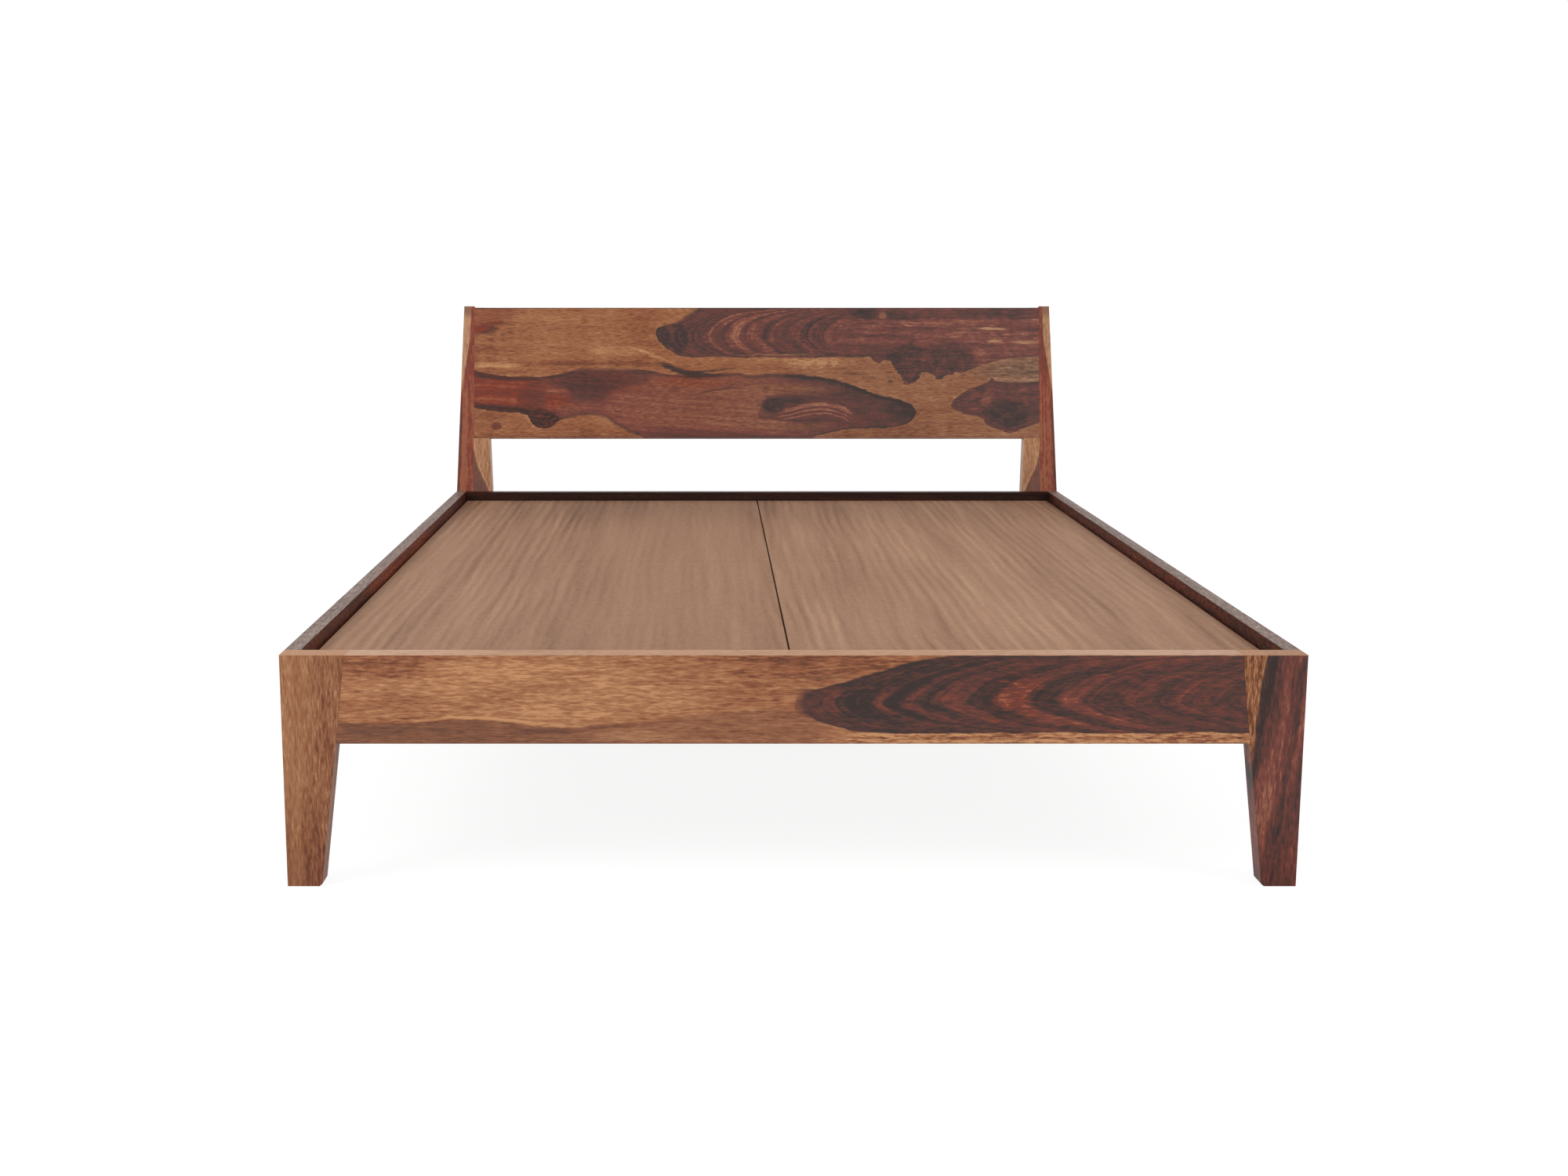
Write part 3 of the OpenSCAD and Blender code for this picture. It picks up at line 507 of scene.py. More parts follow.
def headboard_lower_figure(f, x, s):
    """Lower figure: red at the left, plain brown in the middle, a dark nose with a loop at the right."""
    below_top, above_bottom = f.line(x, LOWER_TOP) - s, s - f.line(x, LOWER_BOTTOM)
    inside = f.least(below_top, above_bottom)
    red_end = f.step(x, -0.52, -0.64)
    tone = 0.77 - red_end * 0.07 + red_end * (f.band(s, 0.143, 0.020) * 0.10 + f.band(s, 0.102, 0.020) * 0.14)
    tone = tone + f.spot(x, s, (-170, 150), (120, 22)) * 0.06
    purple = f.step(s - f.line(x, PURPLE_UNDER), -0.012, 0.012) * f.step(x, -0.64, -0.50) * f.step(x, -0.24, -0.29)
    tone = tone - purple * 0.32 - f.spot(x, s, (-446, 124), (105, 58)) * 0.14

    # The rims are darker, and deeper at the left
    top_rim = f.shift(0.22, red_end, 0.34) * (1 - f.band(x, -0.38, 0.17))
    tone = tone - f.step(below_top, f.shift(0.012, red_end, 0.018), f.shift(0.005, red_end, 0.009)) * top_rim
    deep = f.step(x, -0.50, -0.60)
    tone = tone - f.step(above_bottom, f.shift(0.006, deep, 0.022), f.shift(0.001, deep, 0.010)) * 0.44
    tone = tone - f.step(above_bottom, 0.018, 0.003) * f.band(x, -0.42, 0.17) * 0.20
    tone = tone - f.step(below_top, 0.020, 0.008) * f.step(x, -0.04, 0.06) * 0.16

    # A dark lobe hangs from the bottom edge, with a dark column above it
    lobe = f.clamp(f.spot(x, s, (-563, 44), (62, 46)) * 1.5) * f.step(s, 0.092, 0.062)
    tone = f.shift(tone, lobe, 0.26 + f.mottle * 2.0)
    tone = tone - f.spots(x, s, [(0.26, (-592, 106), (52, 50)), (0.16, (-213, 132), (22, 12))])

    # Purple along the bottom, and the nose darkens to the right
    right = f.step(x, 0.02, 0.14)
    tone = tone - right * 0.32 - f.step(x, 0.14, 0.30) * 0.05
    tone = tone - f.spots(x, s, [(0.16, (248, 114), (66, 30)), (0.24, (386, 74), (70, 44))])
    tone = tone - f.band(s, 0.004, 0.032) * f.step(x, -0.34, -0.22) * f.step(x, 0.10, 0.0) * 0.24
    strokes = f.noise(f.point(x, s), (150, 45, 1), detail=3, roughness=0.6, seed=87.0)
    tone = tone + f.heart_grain(s * 0.6 + x * 0.05, 170) * f.shift(0.8, right, 0.6) + strokes * right * 0.5

    # The plain middle and the wood round the loop are partly sapwood
    middle = f.step(x, -0.38, -0.22) * f.step(x, 0.10, 0.0) * f.step(inside, 0.003, 0.011) * f.step(s, 0.018, 0.042)
    under = f.band(x, 0.10, 0.16) * f.band(s, 0.030, 0.016)
    over = f.band(x, 0.08, 0.17) * f.band(s, 0.131, 0.022)
    loop = f.least(f.line(x, LOOP_TOP) - s, s - f.line(x, LOOP_BOTTOM))
    in_loop = f.step(loop, -0.001, 0.002)
    plain = 1 - f.clamp(middle * 0.30 + (under * 0.60 + over * 0.75) * (1 - in_loop))

    # The loop has pale arcs inside, a dark hollow at its left and a thin dark outline
    fade = f.step(x, 0.31, 0.22)
    tone = f.shift(tone, in_loop * fade, 0.46 + f.fibre * 0.8)
    arcs = f.drawn(s - f.line(x, LOOP_ARC), LOOP_STRIPES) * 0.01 * f.step(x, 0.035, 0.075) * f.step(x, 0.29, 0.21)
    tone = f.shift(tone, f.step(arcs * in_loop + f.fleck * 0.8 + f.mottle * 0.4, 0.20, 0.60) * 0.9, 0.95)
    hollow = f.spots(x, s, [(1.5, (42, 86), (40, 30)), (1.0, (92, 100), (62, 13))]) + f.mottle * 1.5
    hollow = f.clamp(hollow) * in_loop
    marks = f.most(f.step(abs(loop - 0.001), 0.004, 0.001) * fade * 0.55, hollow)
    return f.shift(tone, marks, 0.14 + f.mottle), inside, f.most(plain, marks)


def headboard_eye(f, x, s):
    """Dark eye at the right end, with a red streak."""
    inside = f.least(f.line(x, EYE_TOP) - s, s - f.line(x, EYE_BOTTOM))
    tone = 0.38 + f.spot(x - s * 0.3, s, (577, 104), (22, 34)) * 0.26
    tone = tone + f.spots(x, s, [(-0.30, (662, 62), (74, 52)), (0.06, (720, 118), (60, 26))])
    tone = tone - f.step(inside, 0.010, 0.0) * 0.12
    return tone + f.heart_grain(inside + x * 0.05), inside


# Drawn lines of the front rail's figure, in the same way, with heights from the rail's bottom edge
RAIL_FLAME_TOP = [(0, 40), (4, 66), (8, 75), (16, 81), (34, 87), (66, 95), (103, 106), (146, 118), (188, 131),
                  (226, 138), (262, 143), (320, 160), (700, 170)]
RAIL_FLAME_BOTTOM = [(0, 84), (4, 61), (11, 54), (20, 47), (37, 38), (56, 31), (77, 25), (107, 19), (131, 17),
                     (228, 16), (471, 17), (701, 17)]
RAIL_TIP_BEND = [(16, 150), (19, 108), (25, 76), (31, 54), (38, 35), (47, 17), (54, 7), (64, 0), (76, 7), (87, 29),
                 (99, 64), (110, 100), (122, 136), (131, 172), (137, 206), (141, 240)]
RAIL_INNER_BEND = [(15, 230), (21, 160), (30, 100), (40, 59), (56, 16), (68, 0), (77, 6), (90, 20), (102, 39),
                   (114, 80), (130, 140), (135, 200), (141, 300)]
RAIL_RINGS = [(0, 44), (14, 34), (30, 38), (48, 46), (60, 34), (74, 10), (90, 4), (112, 5), (122, 38), (134, 48),
              (142, 32), (150, 6), (166, 9), (173, 38), (181, 42), (190, 22), (198, 14), (206, 24), (216, 44),
              (236, 52), (254, 48), (268, 22), (290, 14), (306, 46), (328, 60), (350, 54), (368, 26), (396, 18),
              (410, 46), (426, 50), (446, 26), (480, 22), (515, 36), (550, 26), (600, 38), (640, 28), (690, 30)]
BROWN_BAND = [(-705, 33), (-640, 33), (-570, 34), (-509, 38), (-466, 37), (-423, 32), (-380, 27), (-337, 26),
              (-315, 29), (-250, 34), (-207, 37), (-177, 43), (-121, 49), (-78, 52), (-14, 56), (22, 48), (59, 30),
              (90, 5)]


def front_rail_finish():
    """Gold sapwood, with a dark flame that opens to the right."""
    f = Rosewood("rosewood_front_rail", along_x, up_rail, along_y, seed=12.0)
    x = f.along + f.wave * 0.008 + f.ripple * 0.004
    s = f.across + f.wave * 0.006 + f.ripple * 0.004
    heart, is_flame = front_rail_flame(f, x, s)
    sap, band = front_rail_sapwood(f, x, s)
    dark = f.spots(x, s, [(0.60, (-384, 20), (64, 6)), (0.36, (-640, 21), (60, 10)), (0.18, (-520, 22), (70, 8)),
                          (0.35, (40, 106), (50, 5))])
    dark = f.clamp(dark + f.step(s, 0.003, 0.0) * 0.3) * (1 - is_flame)
    heart = f.shift(heart, dark, 0.34 + f.fibre)
    # Painted sheen: the top face is paler, duller sapwood without the flame
    top = painted_top_sheen(f)
    sap = f.shift(sap, top, 0.95 + f.fibre * 1.4 + f.fleck * 2.0 + f.cloud * 0.6)
    haze = 0.32 - f.spot(x, s, (340, 76), (70, 54)) * 0.2
    return f.finish(sap, heart, f.most(is_flame, dark) * (1 - top), haze, f.shift(band * 0.35, top, 0.25))


def front_rail_flame(f, x, s):
    """Rings that open to the right, between straight streaks above and below them, with a red glow."""
    inside = f.least(f.line(x, RAIL_FLAME_TOP) - s, s - f.line(x, RAIL_FLAME_BOTTOM))
    bend = f.shift(f.line(s, RAIL_TIP_BEND), f.step(x, 0.04, 0.30), f.line(s, RAIL_INNER_BEND))
    ring = x - bend - RAIL_FLAME_TIP
    arms = f.step(abs(s - 0.068), 0.010, f.shift(0.024, f.step(x, 0.10, 0.34), 0.046)) * f.step(x, 0.03, 0.10)
    near_tip = f.step(x, 0.36, 0.16)
    heart = f.shift(f.growth_rings(ring, RAIL_RINGS), arms * f.shift(0.5, near_tip, 0.95),
                    0.34 + f.streak * 1.2 - near_tip * 0.12)
    tip = f.spot(x, s, (6, 64), (46, 34))
    heart = heart + f.step(x, 0.38, 0.50) * 0.05
    heart = heart + f.heart_grain(ring, 110, 1.1) - f.step(inside, 0.008, 0.0) * (1 - tip) * 0.16
    heart = heart + f.spots(x, s, [(0.04, (344, 78), (52, 42)), (0.12, (418, 80), (20, 24))])
    heart = heart + f.spot(x, s, (342, 78), (46, 36)) * f.step(f.fleck + f.mottle, 0.04, 0.16) * 0.30
    is_flame = f.step(inside, f.shift(-0.0012, tip, -0.022), f.shift(0.0016, tip, 0.006))
    return heart, is_flame * (f.step(x, -0.008, 0.022) * 0.5 + 0.5)


def front_rail_sapwood(f, x, s):
    """Wavy pores, a brown band along the bottom that softens to the right, and a lined strip under the flame."""
    under = f.line(x, BROWN_BAND) - f.across - f.wave * 0.004
    soft = f.step(x, -0.34, -0.24)
    band = f.step(under, f.shift(-0.001, soft, -0.004), f.shift(0.002, soft, 0.005)) * f.step(x, 0.09, 0.02)
    band = band * f.shift(1.0, soft, 0.66)
    sap = (f.sap_tone(0.0, 0.95) + f.streak * 0.4 + f.cloud * 0.1) * f.shift(1.0, band, 0.55) + 0.65
    sap = sap - band * 0.40 + f.band(under, -0.003, 0.0035) * f.step(f.band(x, -0.50, 0.13), 0.0, 0.5) * 0.50
    sap = sap - f.band(under, 0.004, 0.006) * f.band(x, -0.27, 0.12) * 0.25
    sap = sap + f.spots(x, s, [(0.20, (-250, 14), (90, 14)), (-0.42, (-640, 130), (150, 36)),
                               (-0.12, (-120, 138), (360, 24)), (-0.30, (70, 128), (150, 40)),
                               (-0.10, (-60, 100), (120, 60))])
    strip = f.band(s, 0.0145, 0.0035) * 0.30 - f.band(s, 0.0090, 0.0030) * 0.30
    strip = strip + (f.fleck + f.mottle) * f.step(s, 0.020, 0.017) * 1.6
    return sap + (strip + f.band(s, 0.0045, 0.003) * 0.15) * f.step(x, 0.05, 0.12), band


# Line between the sapwood and the heartwood of the right leg, over its height
LEG_SAP_EDGE = [(0, 640), (170, 702), (190, 709), (210, 713), (230, 714), (272, 716), (295, 717), (321, 719),
                (348, 723), (371, 727)]
# Outer edge of the dark wedge, a painted shadow, at the foot of each inner stave, over its height above the rails
SHADOW_WEDGE_EDGE = [(-10, 700), (0, 705), (20, 714), (40, 724), (60, 733), (80, 739), (100, 743), (125, 747), (150, 750)]


def left_leg_finish():
    """Sapwood, browner at the inner side and towards the foot."""
    f = Rosewood("rosewood_left_leg", along_z, along_x, along_y, seed=23.0)
    z, x = f.along, f.across + f.wave * 0.006
    inward = x + (RAIL_TOP - z) * 0.07
    inner = f.step(inward, -0.750, -0.726)
    sap = f.sap_tone(0.0, 0.9) * f.shift(0.8, inner, 1.25) + 0.65 - inner * 0.22 - f.step(z, 0.20, 0.03) * 0.22
    mask = inner * 0.12 + f.step(z, 0.07, 0.0) * 0.20
    # Painted sheen: the top face is paler
    top = painted_top_sheen(f)
    sap = f.shift(sap, top, 0.90 + f.fibre)
    return f.finish(sap, 0.60 + f.fibre, mask * (1 - top), haze=0.6, dull=0.3, roughness=0.5, specular=0.2)


def right_leg_finish():
    """Slanting heartwood, with a strip of sapwood along the inner side of its top."""
    f = Rosewood("rosewood_right_leg", along_z, along_x, along_y, seed=31.0)
    z = f.along
    x = f.across + f.wave * 0.006 + f.ripple * 0.002
    edge = f.line(z, LEG_SAP_EDGE)
    slant = x - z * 0.12 + f.wave * 0.012
    broad = f.noise(f.point(slant, z), (42, 3.5, 1), detail=3, roughness=0.6, seed=73.0)
    heart = 0.47 + broad * 1.4 + f.heart_grain(slant, 190, 1.1)
    heart = heart - f.step(abs(x - edge - 0.008), 0.014, 0.003) * 0.26
    heart = heart + f.band(slant, 0.722, 0.013) * 0.20 - f.band(slant, 0.697, 0.014) * 0.16
    heart = heart - f.band(slant, 0.742, 0.010) * 0.10
    heart = heart - f.step(z, 0.24, 0.32) * 0.12 - f.step(z, 0.12, 0.0) * 0.06
    # Painted sheen: the top face is paler sapwood
    top = painted_top_sheen(f)
    sap = f.shift(f.sap_tone(0.30, 1.8), top, 0.80 + f.fibre)
    mask = f.step(x - edge, -0.001, 0.002) * (1 - top * 0.9)
    haze = 0.9 - f.step(z, 0.14, 0.0) * 0.4
    return f.finish(sap, heart, mask, haze, dull=0.25, roughness=0.5, specular=0.2)


def outer_stave_finish(name, side):
    """Orange-red heartwood, with sapwood along the outer edge of its upper half and a duller top end."""
    f = Rosewood(name, up_slope, outwards(side), into_slope, seed=41.0 + side)
    s = f.along
    x = f.across + f.wave * 0.004
    from_edge = HALF_W - f.clamp(s / POST_LENGTH) * POST_DRAW_IN - x
    pale = f.step(from_edge - f.clamp(s / 0.15 - 1.7) * 0.019, 0.002, -0.002)
    heart = 0.96 + f.streak * 0.7 + f.heart_grain(x, 240)
    heart = heart - f.step(s, 0.24, 0.34) * 0.20 - f.step(from_edge, 0.010, 0.003) * f.step(s, 0.30, 0.20) * 0.55
    heart = heart - f.band(x, STAVE_X + 0.003, 0.006) * f.band(s, 0.085, 0.05) * 0.30
    top_end = f.step(s, 0.455, 0.478)
    sap = f.shift(f.sap_tone(0.94), top_end, 0.50)
    return f.finish(sap, heart, 1 - pale, dull=top_end * 0.2 + 0.45)


def inner_stave_finish(name, side):
    """Pale sapwood, with a dark wedge at its foot that is a painted shadow, and painted shade towards the rails."""
    f = Rosewood(name, up_slope, outwards(side), into_slope, seed=45.0 + side)
    s = f.along
    x = f.across + f.wave * 0.004
    edge = f.line(s, SHADOW_WEDGE_EDGE)
    # The dark wedge is a painted shadow
    wedge = f.step(x - edge, -0.001, 0.003)
    # Painted shade darkens the foot towards the rails
    sap = f.sap_tone(0.62, 0.9) + f.step(s, 0.06, 0.14) * 0.12 + f.band(x - edge, -0.003, 0.003) * 0.25
    return f.finish(sap, 0.46 + f.fibre + f.fleck, wedge * 0.85, haze=0.7, dull=0.25)


def side_rail_finish(name, side, glow):
    """Heartwood darkened by painted shade inside the bed, with a redder patch, a top face that a painted sheen makes
    pale and grey, and a warmer, streaked outer face.
    """
    f = Rosewood(name, along_y, along_z, outwards(side), seed=51.0 + side)
    outer = f.step(outwards(side)(f), SIDE_RAIL_MIDDLE, SIDE_RAIL_MIDDLE + FACE_CHANGE)
    patch = f.step(abs(f.along + 0.05 + f.wave * 0.3), 0.50, 0.25) * (1 - outer) * glow
    # Painted shade: the inner face, towards the mattress, is darker than the outer face
    heart = f.shift(0.27 + glow * 0.2, outer, 0.56) + f.streak * 1.2 + patch
    heart = heart + f.heart_grain(f.across + f.along * 0.012, 140) + f.fleck * (1 - outer) * 1.2
    pale = f.step(f.streak + f.cloud * 0.5, 0.05, 0.11) * outer * 0.75
    # Painted sheen: the top face is paler and greyer
    top = painted_top_sheen(f)
    specks = f.noise(f.place(), (320, 50, 1), detail=3, roughness=0.7, seed=61.0)
    drift = f.noise(f.place(), (60, 3, 1), detail=2, roughness=0.6, seed=63.0)
    sap = f.shift(f.sap_tone(0.42), top, 0.40 + (specks * 2.6 + drift * 0.9))
    return f.finish(sap, heart, (1 - pale) * (1 - top * 0.85), sheen_grey=top * 0.8, roughness=0.5, specular=0.2)


def rear_rail_finish():
    """Nearly black on the face towards the mattress, which is painted shade, and warmer behind."""
    f = Rosewood("rosewood_rear_rail", along_x, along_z, along_y, seed=57.0)
    behind = f.step(f.axis(1), REAR_RAIL_MIDDLE, REAR_RAIL_MIDDLE + FACE_CHANGE)
    # Painted shade makes the face towards the mattress nearly black
    heart = f.shift(0.05, behind, 0.55) + f.streak * 0.6 + f.heart_grain(f.across + f.along * 0.012, 140, 0.5)
    return f.finish(f.sap_tone(0.4), heart, 1.0 - f.step(f.streak, 0.08, 0.14) * behind * 0.6, specular=0.15)


# ---- Other finishes ----

PLYWOOD = [
    (0.0, (0.170, 0.083, 0.046)),
    (0.45, (0.295, 0.158, 0.092)),
    (0.7, (0.352, 0.196, 0.118)),
    (1.0, (0.440, 0.254, 0.155)),
]
SOFTWOOD = [
    (0.0, (0.34, 0.185, 0.085)),
    (0.5, (0.52, 0.330, 0.170)),
    (1.0, (0.64, 0.450, 0.260)),
]
BEECH = [
    (0.0, (0.42, 0.25, 0.13)),
    (1.0, (0.60, 0.41, 0.25)),
]


def plywood_finish():
    """Rippled veneer with a few darker stripes, plies at the edges, and painted shade towards the rear."""
    f = Finish(bpy.data.materials.new("plywood_deck"))
    place, x, y, z = f.place(), f.axis(0), f.axis(1), f.axis(2)
    sway = f.noise(place, (3, 2, 0), detail=1, roughness=0.5, seed=21.0)
    wobble = f.noise(place, (9, 12, 0), detail=1, roughness=0.5, seed=23.0)
    lane = x + (sway * 0.018 + wobble * 0.006)
    veneer = f.point(lane, y)
    striped = f.shift(0.45, f.most(f.step(x, -0.34, -0.48), f.step(x, -0.08, 0.02)), 1.0)
    bend = f.noise(place, (9, 1.5, 0), detail=1, roughness=0.5, seed=25.0)
    swell = f.noise(place, (8, 2.5, 0), detail=2, roughness=0.5, seed=27.0)
    waves = f.math("SINE", (lane + bend * 0.03) * DECK_RIPPLES) * f.clamp(swell * 3.0 + 0.5)
    ribbon = (f.noise(veneer, (66, 2.0, 1), detail=1, roughness=0.5, seed=3.0) * 0.80 + waves * 0.14) * striped
    broad = f.noise(veneer, (9, 0.5, 1), detail=2, roughness=0.5, seed=8.0)
    fine = f.noise(place, (300, 12, 200), detail=4, roughness=0.7, seed=5.0)
    speckle = f.noise(place, (110, 45, 0), detail=3, roughness=0.7, seed=13.0)
    tone = 0.585 + ribbon * 0.95 + broad * 0.90 + fine * 0.55 + speckle * 0.50
    dark_stripes = [(0.11, -0.39, 0.022), (0.07, -0.53, 0.034), (0.08, -0.61, 0.024), (0.08, 0.40, 0.020)]
    tone = tone - sum(f.band(lane, centre, half) * strength for strength, centre, half in dark_stripes)
    # Painted shade darkens the deck towards the rear; it is also a little darker towards the front
    tone = tone - f.step(y, 0.35, 0.95) * 0.26 - f.step(y, -0.6, -1.1) * 0.10
    layers = f.math("FRACT", z / DECK_PLY)
    edge = f.step(z, DECK_TOP - 0.0002, DECK_TOP - 0.0008)
    colour = f.ramp(tone - f.step(abs(layers - 0.5), 0.20, 0.30) * edge * 0.5, PLYWOOD)
    return f.close(colour, fine * 0.15 + 0.72, fine, depth=0.00012, specular=0.22)


def softwood_finish(name, scale, seed):
    """Pale softwood with brown latewood lines."""
    f = Finish(bpy.data.materials.new(name))
    rings = f.noise(f.place(), scale, detail=3, roughness=0.5, seed=seed)
    fine = f.noise(f.place(), tuple(4 * v for v in scale), detail=2, roughness=0.5, seed=seed + 4)
    late = f.math("PINGPONG", rings * 9.0, 1.0)
    tone = 0.72 - f.step(late, 0.55, 1.0) * 0.45 + fine * 0.30
    return f.close(f.ramp(tone, SOFTWOOD), 0.62, fine, depth=0.00015, specular=0.35)


def beech_finish():
    f = Finish(bpy.data.materials.new("beech_dowel"))
    fleck = f.noise(f.place(), (900, 40, 900), detail=3, roughness=0.6, seed=1.0) + 0.5
    return f.close(f.ramp(fleck, BEECH), 0.6, fleck, depth=0.0001, specular=0.35)


def powder_coat_finish():
    f = Finish(bpy.data.materials.new("black_powder_coat"))
    texture = f.noise(f.place(), (900, 900, 900), detail=2, roughness=0.6, seed=1.0)
    worn = f.noise(f.place(), (60, 60, 60), detail=3, roughness=0.6, seed=2.0) + 0.5
    colour = f.ramp(worn, [(0.0, (0.016, 0.016, 0.017)), (1.0, (0.036, 0.036, 0.038))])
    return f.close(colour, texture * 0.25 + 0.42, texture, depth=0.00008)


def zinc_finish(name, dark, bright, roughness):
    f = Finish(bpy.data.materials.new(name))
    spangle = f.noise(f.place(), (260, 260, 260), detail=2, roughness=0.5, seed=1.0)
    smear = f.noise(f.place(), (40, 40, 40), detail=3, roughness=0.6, seed=2.0) + 0.5
    colour = f.ramp(smear, [(0.25, dark), (0.75, bright)])
    return f.close(colour, spangle * 0.2 + roughness, spangle, depth=0.00004, metallic=1.0)


# ---- Which node has which finish ----

lengthwise_softwood = softwood_finish("softwood_lengthwise", (34, 1.6, 34), seed=3.0)
crosswise_softwood = softwood_finish("softwood_crosswise", (1.6, 34, 34), seed=6.0)
powder_coat = powder_coat_finish()
zinc_plate = zinc_finish("zinc_plate", (0.50, 0.50, 0.48), (0.68, 0.67, 0.63), roughness=0.34)

# The first name that a node's name starts with gives its finish
FINISHES = {
    "front_leg_left": left_leg_finish(),
    "front_leg_right": right_leg_finish(),
    "front_rail": front_rail_finish(),
    "side_rail_left": side_rail_finish("rosewood_left_side_rail", -1, glow=0.32),
    "side_rail_right": side_rail_finish("rosewood_right_side_rail", 1, glow=0.06),
    "rear_rail": rear_rail_finish(),
    "rear_post_outer_stave_left": outer_stave_finish("rosewood_left_outer_stave", -1),
    "rear_post_outer_stave_right": outer_stave_finish("rosewood_right_outer_stave", 1),
    "rear_post_inner_stave_left": inner_stave_finish("rosewood_left_inner_stave", -1),
    "rear_post_inner_stave_right": inner_stave_finish("rosewood_right_inner_stave", 1),
    "headboard_panel": headboard_finish(),
    "headboard_screws": zinc_plate,
    "deck_panel": plywood_finish(),
    "side_ledger_screws": zinc_plate,
    "side_ledger": lengthwise_softwood,
    "front_ledger_screws": zinc_plate,
    "rear_ledger_screws": zinc_plate,
    "front_ledger": crosswise_softwood,
    "rear_ledger": crosswise_softwood,
    "cross_bearer": crosswise_softwood,
    "bearer_screws": zinc_plate,
    "centre_beam": lengthwise_softwood,
    "centre_leg_plate_screws": zinc_plate,
    "centre_leg_plate": powder_coat,
    "centre_leg_stud": zinc_plate,
    "centre_leg": softwood_finish("softwood_upright", (34, 34, 1.6), seed=9.0),
    "corner_bracket": powder_coat,
    "corner_bolts": zinc_plate,
    "corner_inserts": zinc_finish("zinc_die_cast", (0.36, 0.36, 0.36), (0.52, 0.51, 0.50), roughness=0.5),
    "rail_dowels": beech_finish(),
    "beam_hanger": powder_coat,
    "hanger_screws": zinc_plate,
}

# How near two corners lie that are one, in metres, and the angle from which an edge is rounded
WELD_REACH = 0.00002
SHARP = radians(40)
# How far each kind of board is rounded over at its edges, in metres
EASED = {
    "front_leg": 0.0015,
    "front_rail": 0.0012,
    "side_rail": 0.0015,
    "rear_rail": 0.0012,
    "rear_post": 0.0012,
    "headboard_panel": 0.0012,
    "deck_panel": 0.0006,
    "cross_bearer": 0.0015,
    "centre_beam": 0.002,
    "front_ledger": 0.0015,
    "rear_ledger": 0.0015,
    "side_ledger": 0.0015,
}


def ease_edges(board, width):
    """Rounds a board's sharp edges a little, as sandpaper leaves them."""
    seams = board.modifiers.new("closed_seams", "WELD")
    seams.merge_threshold = WELD_REACH
    edges = board.modifiers.new("eased_edges", "BEVEL")
    edges.width = width
    edges.segments = 2
    edges.limit_method = "ANGLE"
    edges.angle_limit = SHARP
    shading = board.modifiers.new("even_shading", "WEIGHTED_NORMAL")
    shading.keep_sharp = True


for name, node in nodes.items():
    for slot in node.material_slots:
        slot.material = next(finish for start, finish in FINISHES.items() if name.startswith(start))
    if "screws" not in name:
        for start, width in EASED.items():
            if name.startswith(start):
                ease_edges(node, width)


# ---- Floor, light and camera ----

# The floor's reach in metres, the grey of its paint, its plain white, and the white's share of what the camera sees
FLOOR_REACH = 60.0
FLOOR_GREY = 0.86
FLOOR_WHITE = 1.12
FLOOR_WHITE_SHARE = 0.8
# Strength of the surroundings as they light the bed
SKY_STRENGTH = 0.72
LAMP_TARGET = (0, -0.2, 0.4)
LAMP_SIZE = 3.0
# The photograph's camera: its lens in the photograph's pixels, its place in metres and its downward tilt in radians
SENSOR_MM = 36.0
LENS_PX = 2405.64
PHOTO_W_PX = 2000
LENS_SHIFT = 0.05
CAMERA_X = -0.135
CAMERA_IN_FRONT = 2.834
CAMERA_HEIGHT = 0.964
CAMERA_TILT = 0.17103


def seen_rays(f):
    """1 for camera, glossy and transmission rays, and 0 for the rays that light the bed."""
    camera = f.add("ShaderNodeLightPath", output="Is Camera Ray")
    glossy = f.add("ShaderNodeLightPath", output="Is Glossy Ray")
    through = f.add("ShaderNodeLightPath", output="Is Transmission Ray")
    return f.clamp(camera + glossy + through)


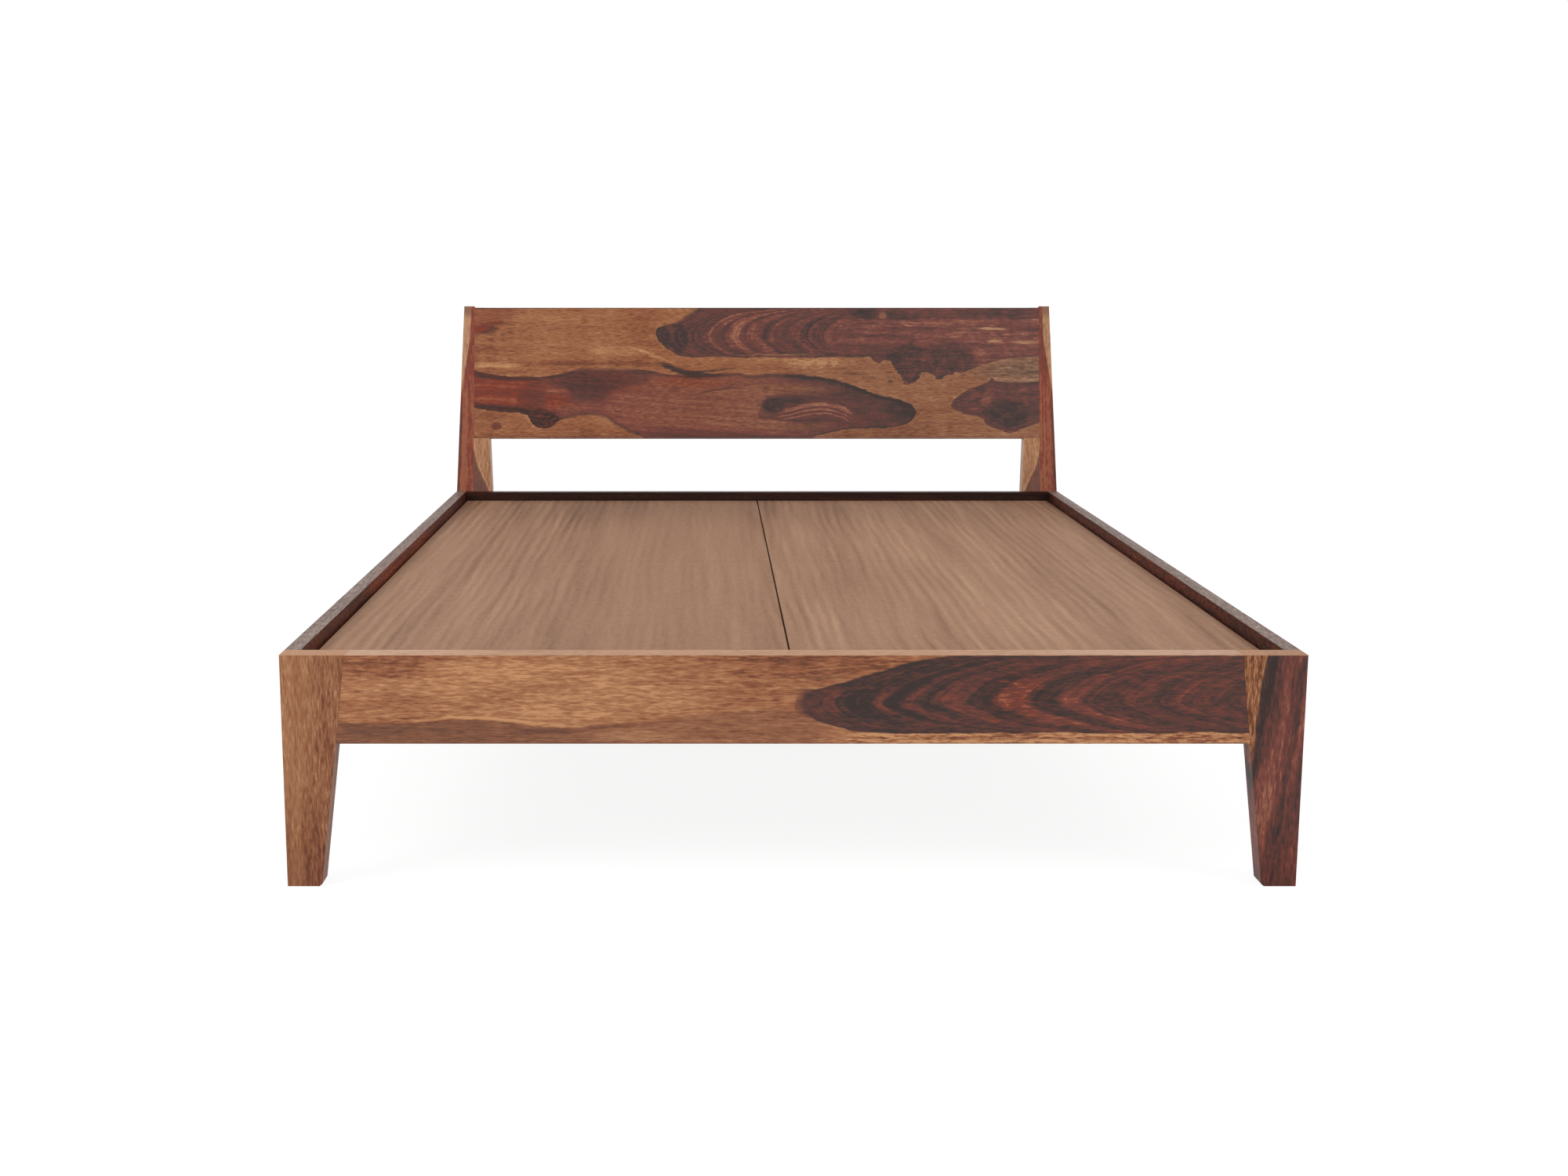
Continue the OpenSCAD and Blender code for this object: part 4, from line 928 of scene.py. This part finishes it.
def add_floor():
    """Pale floor: it looks white, and keeps the bed's shadow at part strength."""
    mesh = bpy.data.meshes.new("floor")
    corners = [(-FLOOR_REACH, -FLOOR_REACH, 0), (FLOOR_REACH, -FLOOR_REACH, 0), (FLOOR_REACH, FLOOR_REACH, 0),
               (-FLOOR_REACH, FLOOR_REACH, 0)]
    mesh.from_pydata(corners, [], [(0, 1, 2, 3)])
    floor = bpy.data.objects.new("floor", mesh)
    bpy.context.scene.collection.objects.link(floor)
    f = Finish(bpy.data.materials.new("floor_paint"))
    paint = f.add("ShaderNodeBsdfDiffuse", inputs={"Color": (FLOOR_GREY, FLOOR_GREY, FLOOR_GREY, 1)})
    white = f.add("ShaderNodeEmission", inputs={"Strength": FLOOR_WHITE})
    surface = f.add("ShaderNodeMixShader", inputs={0: seen_rays(f) * FLOOR_WHITE_SHARE, 1: paint, 2: white})
    f.fill(f.tree.nodes["Material Output"].inputs["Surface"], surface)
    mesh.materials.append(f.owner)


def add_world():
    """Even surroundings, which look white and light the bed a little less."""
    f = Finish(bpy.data.worlds.new("studio"))
    bpy.context.scene.world = f.owner
    background = f.tree.nodes["Background"].inputs
    background["Color"].default_value = (1, 1, 1, 1)
    f.fill(background["Strength"], f.shift(SKY_STRENGTH, seen_rays(f), 1.0))


def add_lamp(name, place, power):
    """Round soft lamp that is aimed at the middle of the bed."""
    light = bpy.data.lights.new(name, "AREA")
    light.shape = "DISK"
    light.size = LAMP_SIZE
    light.energy = power
    lamp = bpy.data.objects.new(name, light)
    bpy.context.scene.collection.objects.link(lamp)
    lamp.location = place
    lamp.rotation_euler = (Vector(LAMP_TARGET) - Vector(place)).to_track_quat("-Z", "Y").to_euler()


def add_camera():
    """Camera of the photograph, fitted to the bed's edges in it."""
    data = bpy.data.cameras.new("photo_camera")
    data.sensor_width = SENSOR_MM
    data.lens = LENS_PX / PHOTO_W_PX * SENSOR_MM
    data.shift_x = LENS_SHIFT
    camera = bpy.data.objects.new("photo_camera", data)
    bpy.context.scene.collection.objects.link(camera)
    camera.location = (CAMERA_X, cad_box[0].y - CAMERA_IN_FRONT, CAMERA_HEIGHT)
    camera.rotation_euler = (radians(90) - CAMERA_TILT, 0, 0)
    bpy.context.scene.camera = camera


add_floor()
add_world()
add_lamp("soft_left", (-4.5, -3.5, 3.6), power=150)
add_lamp("soft_right", (4.5, -3.5, 3.6), power=90)
add_camera()
bpy.context.scene.view_settings.view_transform = "Standard"
